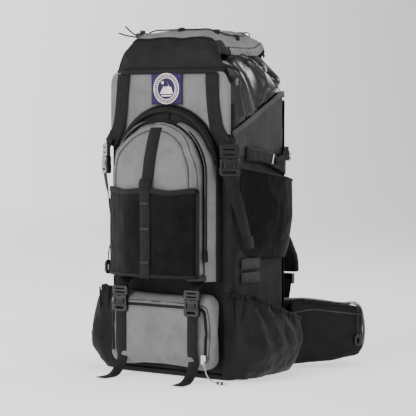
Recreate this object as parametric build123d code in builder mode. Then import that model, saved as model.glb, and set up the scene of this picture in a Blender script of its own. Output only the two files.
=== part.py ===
"""Hiking backpack with a floating lid: +Z up, -Y the pocket side, +Y the wearer's back. Millimetres."""
import os
from math import cos, radians, sin, tan

from build123d import *

os.makedirs("parts", exist_ok=True)

# Sack
HALF_WIDTH = 148.0
FRONT_Y = -112.0
BACK_Y = 90.0
CLOTH = 3.0
GAP = 0.4
BASE_THICK = 14.0
FRONT_TOP = 548.0
BACK_TOP = 556.0
SIDE_FRONT_TOP = 484.0
SIDE_REAR_TOP = 564.0
DIVIDER_Z = 178.0
COLLAR_TOP = 648.0

# Front pocket: a round-topped bag on a padded arch
ARCH_RADIUS = 122.0
ARCH_CENTRE_Z = 418.0
ARCH_BOTTOM = 198.0
ARCH_THICK = 21.0
POCKET_RADIUS = 110.0
POCKET_CENTRE_Z = 407.0
POCKET_FACE_Y = -185.0
MESH_TOP = 381.0

# Bottom pocket
BOTTOM_HALF_WIDTH = 131.0
BOTTOM_FACE_Y = -152.0
BOTTOM_TOP = 177.0
BASE_STRAP_X = 87.0

# Webbing and buckles
WEB = 1.9
WEB_WIDTH = 25.0
LID_WEB_WIDTH = 30.0
BUCKLE_X = 150.0
BUCKLE_Y = -124.0
BUCKLE_FACING = 40.0
BUCKLE_JOIN_Z = 440.0
BUCKLE_WIDTH = 38.0
PRONG_LENGTH = 13.0

# Lid
LID_HALF_WIDTH = 134.0
LID_HINGE_Y = 100.0
LID_HINGE_Z = 600.0
LID_SEAM_Z = 615.0
LASH_DIA = 3.2

# Hip belt
BELT_ROOT_X = 104.0
BELT_ROOT_Y = 106.0
BELT_ANGLE = 53.0
BELT_THICK = 14.0
BELT_LENGTH = 205.0

# Shoulder harness
SHOULDER_X = 76.0
PAD_WIDTH = 62.0
PAD_THICK = 16.0

SIDES = (("right", 1), ("left", -1))


def write(builder, name):
    """Label one finished piece and write it out."""
    builder.part.label = name
    export_step(builder.part, f"parts/{name}.step")


def block(x_span, y_span, z_span, mode=Mode.ADD):
    """A box given by its low and high limits."""
    middle = [(span[0] + span[1]) / 2 for span in (x_span, y_span, z_span)]
    with Locations(tuple(middle)):
        return Box(x_span[1] - x_span[0], y_span[1] - y_span[0], z_span[1] - z_span[0], mode=mode)


def side_slab(outline, x_span, mode=Mode.ADD):
    """A side view outline (y, z) filled between two widths."""
    with BuildSketch(Plane.YZ.offset(x_span[0])) as profile:
        with BuildLine():
            Polyline(*outline, close=True)
        make_face()
    extrude(profile.sketch, amount=x_span[1] - x_span[0], mode=mode)


def front_slab(outline, y_span, mode=Mode.ADD):
    """A front view outline (x, z) filled between two depths."""
    with BuildSketch(Plane.XZ.offset(-y_span[1])) as profile:
        with BuildLine():
            Polyline(*outline, close=True)
        make_face()
    extrude(profile.sketch, amount=y_span[1] - y_span[0], mode=mode)


def arch_slab(radius, centre_z, bottom_z, y_span, mode=Mode.ADD):
    """A round-topped front view outline filled between two depths."""
    with BuildSketch(Plane.XZ.offset(-y_span[1])) as profile:
        with BuildLine():
            Polyline((-radius, centre_z), (-radius, bottom_z), (radius, bottom_z), (radius, centre_z))
            ThreePointArc((radius, centre_z), (0, centre_z + radius), (-radius, centre_z))
        make_face()
    extrude(profile.sketch, amount=y_span[1] - y_span[0], mode=mode)


def ribbon(route, x_middle, width, thick=WEB, bend=5.0):
    """Webbing that keeps its width across the pack and follows a side view route."""
    with BuildSketch(Plane.YZ.offset(x_middle - width / 2)) as profile:
        with BuildLine():
            FilletPolyline(*route, radius=bend)
        trace(line_width=thick)
    extrude(profile.sketch, amount=width)


def plan_wall(route, z_span, thick, bend=20.0, mode=Mode.ADD):
    """An upright wall that follows a plan view route."""
    with BuildSketch(Plane.XY.offset(z_span[0])) as profile:
        with BuildLine():
            FilletPolyline(*route, radius=bend)
        trace(line_width=thick)
    extrude(profile.sketch, amount=z_span[1] - z_span[0], mode=mode)


def plan_floor(route, low, thick):
    """The flat floor that closes the foot of a plan view wall."""
    with BuildSketch(Plane.XY.offset(low)) as profile:
        with BuildLine():
            Polyline(*route, close=True)
        make_face()
    extrude(profile.sketch, amount=thick)


def bend_radii(points, share=0.45):
    """The largest arc each corner of a cord has room for."""
    spots = [Vector(*point) for point in points]
    radii = []
    for before, corner, after in zip(spots, spots[1:], spots[2:]):
        arrive = corner - before
        leave = after - corner
        turn = radians(arrive.get_angle(leave))
        radii.append(share * min(arrive.length, leave.length) / tan(turn / 2))
    return radii


def cord(points, diameter):
    """A round cord along straight runs joined by tangent arcs."""
    radii = bend_radii(points)
    print("cord radii", [round(radius, 1) for radius in radii])
    with BuildLine() as route:
        FilletPolyline(*points, radius=radii)
    with BuildSketch(Plane(origin=route.line @ 0, z_dir=route.line % 0)) as section:
        Circle(diameter / 2)
    sweep(section.sketch, path=route.line)


def mirrored(outline, side):
    """A plan or front outline carried to either side of the pack."""
    return [(side * across, other) for across, other in outline]


def upright_plane(side, across, depth, angle):
    """Upright plane on one side of the pack: x runs at an angle to the pack's width, y runs up."""
    along = Vector(side * cos(radians(angle)), sin(radians(angle)), 0)
    return Plane(origin=(side * across, depth, 0), x_dir=along, z_dir=along.cross(Vector(0, 0, 1)))


def belt_plane(side):
    """The plane of one hip belt wing, x towards its tip."""
    return upright_plane(side, BELT_ROOT_X, BELT_ROOT_Y, BELT_ANGLE)


def buckle_block(side, x_span, out_span, z_span, mode=Mode.ADD):
    """A block in the slanted frame of a lid buckle, out_span counted outwards from its middle."""
    middle = upright_plane(side, BUCKLE_X, BUCKLE_Y, BUCKLE_FACING)
    with BuildSketch(middle.offset(side * out_span[0])) as face:
        with Locations((sum(x_span) / 2, sum(z_span) / 2)):
            Rectangle(x_span[1] - x_span[0], z_span[1] - z_span[0])
    extrude(face.sketch, amount=side * (out_span[1] - out_span[0]), mode=mode)


# ---------------------------------------------------------------- sack shell
with BuildPart() as base_panel:
    block((-HALF_WIDTH, HALF_WIDTH), (FRONT_Y, BACK_Y), (0, BASE_THICK))
    fillet(base_panel.edges().filter_by(Axis.Z), radius=26)
    fillet(base_panel.faces().sort_by(Axis.Z)[0].edges(), radius=9)
write(base_panel, "base_panel")

with BuildPart() as front_panel:
    block((-HALF_WIDTH + CLOTH + GAP, HALF_WIDTH - CLOTH - GAP), (FRONT_Y, FRONT_Y + CLOTH),
          (BASE_THICK + GAP, FRONT_TOP))
write(front_panel, "front_panel")

side_outline = [(FRONT_Y, BASE_THICK + GAP), (BACK_Y - CLOTH - GAP, BASE_THICK + GAP),
                (BACK_Y - CLOTH - GAP, SIDE_REAR_TOP + 2), (67, SIDE_REAR_TOP), (FRONT_Y, SIDE_FRONT_TOP)]
with BuildPart() as side_panels:
    for side in (-1, 1):
        side_slab(side_outline, sorted((side * (HALF_WIDTH - CLOTH), side * HALF_WIDTH)))
write(side_panels, "side_panels")

with BuildPart() as back_panel:
    block((-HALF_WIDTH, HALF_WIDTH), (BACK_Y - CLOTH, BACK_Y), (BASE_THICK + GAP, BACK_TOP))
write(back_panel, "back_panel")

with BuildPart() as divider:
    block((-HALF_WIDTH + 5, HALF_WIDTH - 5), (FRONT_Y + 4, 74), (DIVIDER_Z, DIVIDER_Z + 2))
write(divider, "compartment_divider")

# The storm collar closes in towards its drawn top, and its lower edge rises with the side panels.
with BuildPart() as storm_collar:
    for shrink, mode in ((0, Mode.ADD), (CLOTH, Mode.SUBTRACT)):
        levels = ((SIDE_FRONT_TOP - 4, 0, 14), (BACK_TOP + 6, 0, 14), (COLLAR_TOP, 34, 40))
        for level, taper, corner in levels:
            with BuildSketch(Plane.XY.offset(level)):
                with Locations((0, (FRONT_Y + BACK_Y) / 2)):
                    RectangleRounded(2 * (HALF_WIDTH - taper - shrink),
                                     BACK_Y - FRONT_Y - 1.2 * taper - 2 * shrink, corner)
        loft(ruled=True, mode=mode)
    side_slab([(FRONT_Y - 5, 470), (FRONT_Y - 5, SIDE_FRONT_TOP - 2), (FRONT_Y, SIDE_FRONT_TOP + 0.6),
               (67, SIDE_REAR_TOP + 0.6), (BACK_Y + 5, SIDE_REAR_TOP + 3), (BACK_Y + 5, 470)],
              (-160, 160), Mode.SUBTRACT)
    block((-143.5, 143.5), (FRONT_Y - 2, FRONT_Y + CLOTH + 1), (470, FRONT_TOP + 0.6), Mode.SUBTRACT)
write(storm_collar, "storm_collar")

# ------------------------------------------------------- frame inside the back
with BuildPart() as frame_sheet:
    block((-118, 118), (82.5, 84.5), (24, 548))
    fillet(frame_sheet.edges().filter_by(Axis.Y), radius=24)
write(frame_sheet, "frame_sheet")

with BuildPart() as frame_stays:
    for middle in (-62, 62):
        block((middle - 12.5, middle + 12.5), (78.5, 81.8), (30, 540))
write(frame_stays, "frame_stays")

# ---------------------------------------------------------------- front pocket
with BuildPart() as pocket_arch:
    arch_slab(ARCH_RADIUS, ARCH_CENTRE_Z, ARCH_BOTTOM, (FRONT_Y - GAP - ARCH_THICK, FRONT_Y - GAP))
    fillet(pocket_arch.faces().sort_by(Axis.Y)[0].edges(), radius=7)
write(pocket_arch, "pocket_arch")

pocket_back = FRONT_Y - GAP - ARCH_THICK - GAP
with BuildPart() as front_pocket:
    with BuildSketch(Plane.XY.offset(200)):
        with BuildLine():
            Polyline((-POCKET_RADIUS + 3, -163), (-POCKET_RADIUS, -156), (-POCKET_RADIUS, pocket_back),
                     (POCKET_RADIUS, pocket_back), (POCKET_RADIUS, -156), (POCKET_RADIUS - 3, -163))
            ThreePointArc((POCKET_RADIUS - 3, -163), (0, POCKET_FACE_Y), (-POCKET_RADIUS + 3, -163))
        make_face()
    extrude(amount=330)
    arch_slab(POCKET_RADIUS, POCKET_CENTRE_Z, 203, (-200, -100), Mode.INTERSECT)
    side_slab([(-120, 200), (-172, 200), (-200, 226), (-200, 372), (-185, 385), (-174, 440), (-147, 518),
               (-120, 518)], (-130, 130), Mode.INTERSECT)
write(front_pocket, "front_pocket")

zip_y = (-152.0, -146.0)
zip_face = (BOTTOM_FACE_Y - 1.6, BOTTOM_FACE_Y - 0.3)
with BuildPart() as zip_tracks:
    arch_slab(POCKET_RADIUS + 1.6, POCKET_CENTRE_Z, 262, zip_y)
    arch_slab(POCKET_RADIUS + 0.3, POCKET_CENTRE_Z, 250, zip_y, Mode.SUBTRACT)
    block((-70, 70), (-160, -140), (480, 560), Mode.SUBTRACT)
    for middle in (-112, 112):
        block((middle - 3, middle + 3), zip_face, (48, 142))
    block((-115, 115), zip_face, (142, 148))
write(zip_tracks, "zip_tracks")

# The mesh pocket is a curved sheet that stands off the pocket's face, closed at its foot and ends.
with BuildPart() as mesh_pocket:
    for outer, mode in ((0, Mode.ADD), (2, Mode.SUBTRACT)):
        with BuildSketch(Plane.XY.offset(206 + outer)):
            with BuildLine():
                Polyline((-105 + outer, -172), (-105 + outer, -164.2), (105 - outer, -164.2),
                         (105 - outer, -172))
                ThreePointArc((105 - outer, -172), (0, -197 + outer), (-105 + outer, -172))
            make_face()
        extrude(amount=MESH_TOP - 206, mode=mode)
    with BuildSketch(Plane.XY.offset(200)):
        with BuildLine():
            Polyline((-POCKET_RADIUS + 2, -163.4), (-POCKET_RADIUS + 2, -100), (POCKET_RADIUS - 2, -100),
                     (POCKET_RADIUS - 2, -163.4))
            ThreePointArc((POCKET_RADIUS - 2, -163.4), (0, POCKET_FACE_Y - 0.6), (-POCKET_RADIUS + 2, -163.4))
        make_face()
    extrude(amount=200, mode=Mode.SUBTRACT)
write(mesh_pocket, "mesh_pocket")

with BuildPart() as centre_strap:
    ribbon([(-153.5, 519), (-178, 441), (-189.5, 391), (-199.2, 383.5), (-199.2, 204)], 0, WEB_WIDTH)
write(centre_strap, "centre_strap")

with BuildPart() as front_slider:
    block((-118, -112.2), (-154, -144), (264, 284))
    fillet(front_slider.edges().filter_by(Axis.X), radius=3)
write(front_slider, "front_slider")

front_pull_route = [(-119.6, -149, 268), (-122.4, -152, 257), (-123.4, -154, 244), (-122.4, -155, 232)]
with BuildPart() as front_pull_cord:
    cord(front_pull_route, 2.4)
write(front_pull_cord, "front_pull_cord")

with BuildPart() as front_pull_ring:
    with BuildSketch(Plane.YZ.offset(-125)):
        with Locations((-156, 218)):
            SlotOverall(26, 16, rotation=90)
            SlotOverall(17, 8, rotation=90, mode=Mode.SUBTRACT)
    extrude(amount=5)
write(front_pull_ring, "front_pull_ring")

# --------------------------------------------------------------- bottom pocket
with BuildPart() as bottom_pocket:
    block((-BOTTOM_HALF_WIDTH, BOTTOM_HALF_WIDTH), (BOTTOM_FACE_Y, FRONT_Y - GAP), (18, BOTTOM_TOP))
    fillet(bottom_pocket.edges().filter_by(Axis.Y), radius=30)
    fillet(bottom_pocket.faces().sort_by(Axis.Y)[0].edges(), radius=16)
write(bottom_pocket, "bottom_pocket")

with BuildPart() as bottom_slider:
    block((106.5, 117.5), (BOTTOM_FACE_Y - 7.5, BOTTOM_FACE_Y - 2), (38, 56))
    fillet(bottom_slider.edges().filter_by(Axis.Y), radius=3)
write(bottom_slider, "bottom_slider")

bottom_pull_route = [(114, BOTTOM_FACE_Y - 9.4, 44), (118, BOTTOM_FACE_Y - 11, 31),
                     (124, BOTTOM_FACE_Y - 13, 18), (133, BOTTOM_FACE_Y - 12, 8),
                     (145, BOTTOM_FACE_Y - 9, 5.0)]
with BuildPart() as bottom_pull_cord:
    cord(bottom_pull_route, 2.6)
write(bottom_pull_cord, "bottom_pull_cord")

grip_start = Vector(145.4, BOTTOM_FACE_Y - 8.9, 4.8)
with BuildPart() as bottom_pull_grip:
    with BuildSketch(Plane(origin=grip_start, z_dir=(12, 3, -0.5))):
        Circle(3.4)
    extrude(amount=20)
write(bottom_pull_grip, "bottom_pull_grip")

# Each strap comes from a tab over the bottom pocket, runs down its face and ends on the floor.
strap_y = BOTTOM_FACE_Y - 3.6
with BuildPart() as base_straps:
    for side in (-1, 1):
        ribbon([(-137, 196), (strap_y + 4, 190), (strap_y, 176), (strap_y, 38), (strap_y - 14, 14),
                (strap_y - 30, 1.4), (strap_y - 68, 1.4)], side * BASE_STRAP_X, WEB_WIDTH, bend=6)
write(base_straps, "base_straps")

buckle_back = strap_y - WEB / 2 - 0.4
with BuildPart() as base_buckle_males:
    for side in (-1, 1):
        middle = side * BASE_STRAP_X
        block((middle - 17, middle + 17), (buckle_back - 8, buckle_back), (164, 182))
        block((middle - 11, middle + 11), (buckle_back - 5.5, buckle_back - 2.5), (152, 164))
write(base_buckle_males, "base_buckle_males")

for label, side in SIDES:
    middle = side * BASE_STRAP_X
    with BuildPart() as base_female:
        block((middle - 18, middle + 18), (buckle_back - 10, buckle_back), (132, 163.2))
        block((middle - 12.5, middle + 12.5), (buckle_back - 7.5, buckle_back - 1.2), (148, 165),
              Mode.SUBTRACT)
        block((middle - 12.5, middle + 12.5), (buckle_back - 12, buckle_back - 4), (135.5, 141),
              Mode.SUBTRACT)
    write(base_female, f"base_female_{label}")

# ---------------------------------------------------------------- side pockets
bottle_route = [(150, -84), (152.6, -58), (170, 0), (178, 48), (170, 80), (150, 86)]
lower_route = [(150, -112), (188, -112), (206, -62), (206, 40), (180, 82), (150, 86)]
with BuildPart() as bottle_pockets:
    for side in (-1, 1):
        plan_wall(mirrored(bottle_route, side), (247, 424), 2, bend=5)
        plan_floor(mirrored(bottle_route, side), 247, 2)
    side_slab([(-100, 430), (-100, 424), (100, 392), (100, 430)], (-190, 190), Mode.SUBTRACT)
write(bottle_pockets, "bottle_pockets")

with BuildPart() as lower_pockets:
    for side in (-1, 1):
        plan_wall(mirrored(lower_route, side), (8, 172), 2.4, bend=16)
        plan_floor(mirrored(lower_route, side), 8, 2.4)
    side_slab([(-130, 180), (-130, 170), (-60, 166), (100, 104), (100, 180)], (-210, 210), Mode.SUBTRACT)
write(lower_pockets, "lower_pockets")

with BuildPart() as side_webbing:
    for side in (-1, 1):
        for low in (191, 219):
            block(sorted((side * (HALF_WIDTH + 0.4), side * (HALF_WIDTH + 2.3))), (-80, -14), (low, low + 22))
write(side_webbing, "side_webbing")

with BuildPart() as compression_wings:
    for side in (-1, 1):
        side_slab([(-64, 434), (0, 428), (85, 403), (85, 431), (0, 458), (-64, 464)],
                  sorted((side * (HALF_WIDTH + 0.5), side * (HALF_WIDTH + 3.0))))
write(compression_wings, "compression_wings")

with BuildPart() as side_cord_locks:
    for side in (-1, 1):
        block(sorted((side * (HALF_WIDTH + 0.5), side * (HALF_WIDTH + 10))), (74, 86), (434, 458))
    fillet(side_cord_locks.edges().filter_by(Axis.Z), radius=3)
write(side_cord_locks, "side_cord_locks")

# --------------------------------------------------------- harness and hip belt
pad_spans = (((-100, -16), (170, 340), 15), ((16, 100), (170, 340), 15), ((-100, 100), (352, 430), 15),
             ((-88, 88), (34, 150), 24))
with BuildPart() as back_pads:
    for x_span, z_span, thick in pad_spans:
        block(x_span, (BACK_Y + 0.5, BACK_Y + thick), z_span)
    fillet(back_pads.edges().filter_by(Axis.Y), radius=12)
write(back_pads, "back_pads")

pad_route = [(100, 536), (134, 532), (146, 470), (147, 380), (150, 310), (178, 262), (206, 225), (214, 190)]
with BuildPart() as shoulder_pads:
    for side in (-1, 1):
        ribbon(pad_route, side * SHOULDER_X, PAD_WIDTH, PAD_THICK, bend=30)
write(shoulder_pads, "shoulder_pads")

with BuildPart() as harness_webbing:
    for side in (-1, 1):
        ribbon([(212, 163), (196, 110), (142, 62), (BACK_Y + 26, 52)], side * SHOULDER_X, WEB_WIDTH)
        ribbon([(BACK_Y + 2, 551), (126, 564), (151, 519)], side * SHOULDER_X, 20, bend=12)
write(harness_webbing, "harness_webbing")

with BuildPart() as ladder_locks:
    for side in (-1, 1):
        middle = side * SHOULDER_X
        block((middle - 18, middle + 18), (207, 217), (165, 187))
        block((middle - 13, middle + 13), (200, 225), (169, 174), Mode.SUBTRACT)
        block((middle - 13, middle + 13), (200, 225), (178, 183), Mode.SUBTRACT)
write(ladder_locks, "ladder_locks")

with BuildPart() as haul_loop:
    with BuildSketch(Plane.XY.offset(522)):
        with BuildLine():
            FilletPolyline((-30, BACK_Y + 1.6), (-27, 122), (0, 134), (27, 122), (30, BACK_Y + 1.6),
                           radius=14)
        trace(line_width=2.4)
    extrude(amount=25)
write(haul_loop, "haul_loop")


def belt_slab(side, outline, out_span):
    """An outline in the wing's plane filled between two distances outwards."""
    with BuildSketch(belt_plane(side).offset(side * out_span[0])) as profile:
        with BuildLine():
            Polyline(*outline, close=True)
        make_face()
    extrude(profile.sketch, amount=side * (out_span[1] - out_span[0]))


def belt_point(side, along, outward, height):
    """A point of the pack given by its place on a wing."""
    return belt_plane(side).from_local_coords(Vector(along, height, side * outward))


half = BELT_THICK / 2
for label, side in SIDES:
    with BuildPart() as belt_wing:
        belt_slab(side, [(-6, 30), (40, 6), (120, 10), (BELT_LENGTH, 26), (BELT_LENGTH, 118), (150, 130),
                         (60, 142), (-6, 128)], (-half, half))
    write(belt_wing, f"belt_wing_{label}")

    with BuildPart() as belt_pocket:
        belt_slab(side, [(30, 6), (120, 9), (186, 20), (196, 36), (196, 108), (192, 124), (40, 142),
                         (30, 128)],
                  (half + 0.4, half + 32))
        fillet(belt_pocket.faces().sort_by(SortBy.AREA)[-1].edges(), radius=6)
    write(belt_pocket, f"belt_pocket_{label}")

    with BuildPart() as belt_strap:
        belt_slab(side, [(84, 56), (BELT_LENGTH, 56), (BELT_LENGTH, 94), (84, 94)],
                  (-half - WEB - 0.4, -half - 0.4))
    write(belt_strap, f"belt_strap_{label}")

    with BuildPart() as belt_slider:
        belt_slab(side, [(168, 129.0), (184, 127.2), (184, 132.6), (168, 134.4)], (half + 12, half + 22))
    write(belt_slider, f"belt_slider_{label}")

with BuildPart() as belt_buckle_male:
    belt_slab(-1, [(40, 52), (82, 52), (82, 98), (40, 98)], (-half - 10, -half - 0.4))
    for low in (55, 71, 89):
        belt_slab(-1, [(14, low), (40, low), (40, low + 6), (14, low + 6)], (-half - 7.5, -half - 3))
write(belt_buckle_male, "belt_buckle_male")

with BuildPart() as belt_buckle_female:
    belt_slab(1, [(30, 50), (82, 50), (82, 100), (30, 100)], (-half - 12, -half - 0.4))
    with BuildSketch(belt_plane(1).offset(-half - 9)):
        with Locations((45, 75)):
            Rectangle(36, 42)
    extrude(amount=5.6, mode=Mode.SUBTRACT)
write(belt_buckle_female, "belt_buckle_female")

belt_pull_route = [belt_point(1, 176, half + 23.5, 132), belt_point(1, 177, half + 33, 127),
                   belt_point(1, 178, half + 37, 114), belt_point(1, 177, half + 37, 90),
                   belt_point(1, 178, half + 37, 66)]
with BuildPart() as belt_pull_cord:
    cord([tuple(point) for point in belt_pull_route], 2.4)
write(belt_pull_cord, "belt_pull_cord")

with BuildPart() as belt_pull_ring:
    with BuildSketch(belt_plane(1).offset(half + 35)):
        with Locations((178, 54)):
            SlotOverall(23, 14, rotation=90)
            SlotOverall(15, 7, rotation=90, mode=Mode.SUBTRACT)
    extrude(amount=4)
write(belt_pull_ring, "belt_pull_ring")

# ------------------------------------------------------------------------- lid
lid_outline = [(-118, LID_SEAM_Z - 12), (-118, 626), (-113, 652), (-96, 680), (-66, 694), (0, 696), (50, 689),
               (84, 668), (97, 636), (98, 598)]
# Half of the dome's front view, from its lower edge to its flat crown.
lid_dome = [(LID_HALF_WIDTH, 606), (126, 624), (116, 643), (104, 662), (90, 679), (74, 691), (56, 700)]
lid_hollow = [(-114.5, 590), (-114.5, 626), (-108, 646), (-96, 654), (74, 654), (91, 632), (94.5, 590)]
with BuildPart() as lid_top:
    side_slab(lid_outline + [(98, 590), (-118, 590)], (-LID_HALF_WIDTH, LID_HALF_WIDTH))
    front_slab([(-LID_HALF_WIDTH, 580), (LID_HALF_WIDTH, 580)] + lid_dome
               + [(-across, level) for across, level in reversed(lid_dome)], (-130, 110), Mode.INTERSECT)
    side_slab(lid_hollow, (-160, 160), Mode.SUBTRACT)
    block((-160, 160), (-130, 110), (580, LID_HINGE_Z + 3), Mode.SUBTRACT)
write(lid_top, "lid_top")

# The apron hangs from the lid's front seam and is cut away around the pocket's arch.
apron_y = (-121.0, -118.4)
with BuildPart() as lid_apron:
    front_slab([(-146, 486), (-146, 600), (-134, LID_SEAM_Z + 6), (134, LID_SEAM_Z + 6), (146, 600),
                (146, 486)], apron_y)
    arch_slab(ARCH_RADIUS + 5, ARCH_CENTRE_Z, 300, (-130, -110), Mode.SUBTRACT)
write(lid_apron, "lid_apron")

with BuildPart() as lid_badge:
    block((-37, 37), (apron_y[0] - 1.7, apron_y[0] - 0.3), (549, 613))
write(lid_badge, "lid_badge")

strap_foot = BUCKLE_JOIN_Z + 27
with BuildPart() as lid_straps:
    for side in (-1, 1):
        foot = side * (BUCKLE_X - 9)
        head = side * 107
        front_slab([(head - 15, LID_SEAM_Z), (foot - 15, strap_foot), (foot + 15, strap_foot),
                    (head + 15, LID_SEAM_Z)], (apron_y[0] - 0.3 - WEB, apron_y[0] - 0.3))
write(lid_straps, "lid_straps")

with BuildPart() as lid_buckle_males:
    for side in (-1, 1):
        buckle_block(side, (-18, 18), (-4.5, 4.5), (BUCKLE_JOIN_Z + 1, strap_foot - 0.6))
        buckle_block(side, (-11, 11), (-2, 2), (BUCKLE_JOIN_Z + 1 - PRONG_LENGTH, BUCKLE_JOIN_Z + 1))
write(lid_buckle_males, "lid_buckle_males")

for label, side in SIDES:
    with BuildPart() as lid_female:
        buckle_block(side, (-BUCKLE_WIDTH / 2, BUCKLE_WIDTH / 2), (-6.5, 6.5), (408, BUCKLE_JOIN_Z))
        buckle_block(side, (-13.5, 13.5), (-4.6, 4.6), (424, BUCKLE_JOIN_Z + 2), Mode.SUBTRACT)
        buckle_block(side, (-14, 14), (-1.5, 9), (411.5, 417.5), Mode.SUBTRACT)
    write(lid_female, f"lid_female_{label}")

    # The webbing turns from the buckle at the front to the seam on the side, and stays clear of the sack.
    with BuildPart() as lower_strap:
        stations = ((407.6, 152, -126, 40), (337, 158.5, -100, 62), (264, 160, -73, 84))
        for level, across, depth, facing in stations:
            with BuildSketch(Plane(origin=(side * across, depth, level),
                                   x_dir=(side * cos(radians(facing)), sin(radians(facing)), 0),
                                   z_dir=(0, 0, 1))):
                Rectangle(LID_WEB_WIDTH - 4, WEB)
        loft()
    write(lower_strap, f"lower_strap_{label}")


def between(outline, place):
    """Height of an outline at a place along it."""
    for (near, low), (far, high) in zip(outline, outline[1:]):
        if near <= place <= far and far > near:
            return low + (high - low) * (place - near) / (far - near)
    return outline[-1][1]


def top_height(across, depth):
    """Height of the lid's top surface."""
    return min(between(lid_outline, depth), between([(0, 700)] + sorted(lid_dome), abs(across)))


lash_stops = [(-84, -70), (-63, -71), (-42, -72), (0, -70), (42, -73), (62, -70), (80, -66), (92, -12),
              (82, 44), (62, 50), (42, 54), (0, 50), (-42, 54), (-62, 50), (-80, 44), (-93, 0), (-90, -54)]
lash_route = [(across, depth, top_height(across, depth) + LASH_DIA / 2 + 3.6) for across, depth in lash_stops]
with BuildPart() as lash_cord:
    cord(lash_route, LASH_DIA)
write(lash_cord, "lash_cord")

keeper_stops = ((0, -70), (79, -65), (91, -12), (81, 44), (0, 50), (-79, 44))
with BuildPart() as lash_keepers:
    for across, depth in keeper_stops:
        inner = max(0, abs(across) - 6)
        base = max(top_height(inner, depth - 6), top_height(inner, depth + 6))
        block((across - 6, across + 6), (depth - 6, depth + 6), (base + 0.4, base + 8.5))
write(lash_keepers, "lash_keepers")

lock_foot = top_height(89, -65) + 0.5
with BuildPart() as lash_lock:
    block((-103, -89), (-79, -65), (lock_foot, lock_foot + 12))
    fillet(lash_lock.edges().filter_by(Axis.Z), radius=4)
    with BuildSketch(Plane.XY.offset(lock_foot + 5)):
        with Locations((-96, -72)):
            Circle(4.9)
    extrude(amount=8, mode=Mode.SUBTRACT)
write(lash_lock, "lash_lock")

with BuildPart() as lash_button:
    with BuildSketch(Plane.XY.offset(lock_foot + 9.5)):
        with Locations((-96, -72)):
            Circle(4.6)
    extrude(amount=8)
write(lash_button, "lash_button")

lash_tail_routes = ([(-104.4, -73, lock_foot + 4), (-112, -78, lock_foot + 9), (-121, -84, lock_foot + 17),
                     (-128, -88, lock_foot + 26)],
                    [(-104.4, -77, lock_foot + 3), (-114, -84, lock_foot + 5), (-126, -92, lock_foot + 7),
                     (-137, -99, lock_foot + 12)])
with BuildPart() as lash_tails:
    for route in lash_tail_routes:
        cord(route, LASH_DIA)
write(lash_tails, "lash_tails")
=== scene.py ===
"""Looks of the hiking backpack: cloth, webbing, mesh, moulded buckles and cords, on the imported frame."""
import math

import bmesh
import bpy
import numpy as np
from mathutils import Matrix, Vector, noise
from mathutils.bvhtree import BVHTree


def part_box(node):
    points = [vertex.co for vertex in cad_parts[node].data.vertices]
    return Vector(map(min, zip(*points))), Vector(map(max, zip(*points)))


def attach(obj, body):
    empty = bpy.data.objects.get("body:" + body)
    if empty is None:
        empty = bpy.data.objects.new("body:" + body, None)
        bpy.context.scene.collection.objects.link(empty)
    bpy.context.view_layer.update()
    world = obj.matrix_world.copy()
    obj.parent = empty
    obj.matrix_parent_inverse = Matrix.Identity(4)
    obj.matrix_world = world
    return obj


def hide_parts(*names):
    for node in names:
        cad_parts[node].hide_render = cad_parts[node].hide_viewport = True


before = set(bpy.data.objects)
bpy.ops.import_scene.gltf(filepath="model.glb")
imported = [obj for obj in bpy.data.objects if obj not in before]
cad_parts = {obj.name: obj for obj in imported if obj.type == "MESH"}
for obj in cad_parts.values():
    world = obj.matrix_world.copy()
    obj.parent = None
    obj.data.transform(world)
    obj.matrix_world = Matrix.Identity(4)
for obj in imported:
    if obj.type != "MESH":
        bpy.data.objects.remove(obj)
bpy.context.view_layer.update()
MM = 0.001
SIDES = (("right", 1), ("left", -1))


# ------------------------------------------------------------------ colour and shader nodes
def shade(code):
    """An sRGB hex colour as linear RGBA."""
    parts = [int(code[i:i + 2], 16) / 255 for i in (1, 3, 5)]
    return (*[c / 12.92 if c <= 0.04045 else ((c + 0.055) / 1.055) ** 2.4 for c in parts], 1.0)


def add(tree, kind, settings=None, links=None):
    """One shader node with its settings (a ramp's stops among them) and its incoming links."""
    made = tree.nodes.new("ShaderNode" + kind)
    for name, value in (settings or {}).items():
        if name == "stops":
            for stop, (place, tone) in zip(made.color_ramp.elements, value):
                stop.position, stop.color = place, shade(tone)
        elif isinstance(name, str) and hasattr(made, name):
            setattr(made, name, value)
        else:
            made.inputs[name].default_value = value
    for name, source in (links or {}).items():
        tree.links.new(source, made.inputs[name])
    return made


def finish(name, slot, roughness, sheen=0.0, metallic=0.0, coat=0.0, ior=1.5, gloss=0.12):
    """A new material with its constant values set, ready for its colour and relief."""
    material = bpy.data.materials.new(name)
    material.use_nodes = True
    tree = material.node_tree
    shader = tree.nodes["Principled BSDF"]
    shader.inputs["Roughness"].default_value = roughness
    shader.inputs["Metallic"].default_value = metallic
    shader.inputs["Sheen Weight"].default_value = sheen
    shader.inputs["Sheen Roughness"].default_value = 0.45
    shader.inputs["Coat Weight"].default_value = coat
    if metallic < 0.5:
        shader.inputs["IOR"].default_value = ior
        shader.inputs["Specular IOR Level"].default_value = gloss
    material["slot"] = slot
    return material, tree, shader


def dyed(tree, place, dark, light, size_mm, spread=(0.35, 0.65)):
    """Two close shades of one dye lot in soft patches, as handled cloth shows."""
    patch = add(tree, "TexNoise", {"Scale": 1000 / size_mm, "Detail": 4.0, "Roughness": 0.6},
                {"Vector": place})
    tones = add(tree, "ValToRGB", {"stops": ((spread[0], dark), (spread[1], light))},
                {"Fac": patch.outputs["Fac"]})
    return tones.outputs["Color"]


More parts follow.
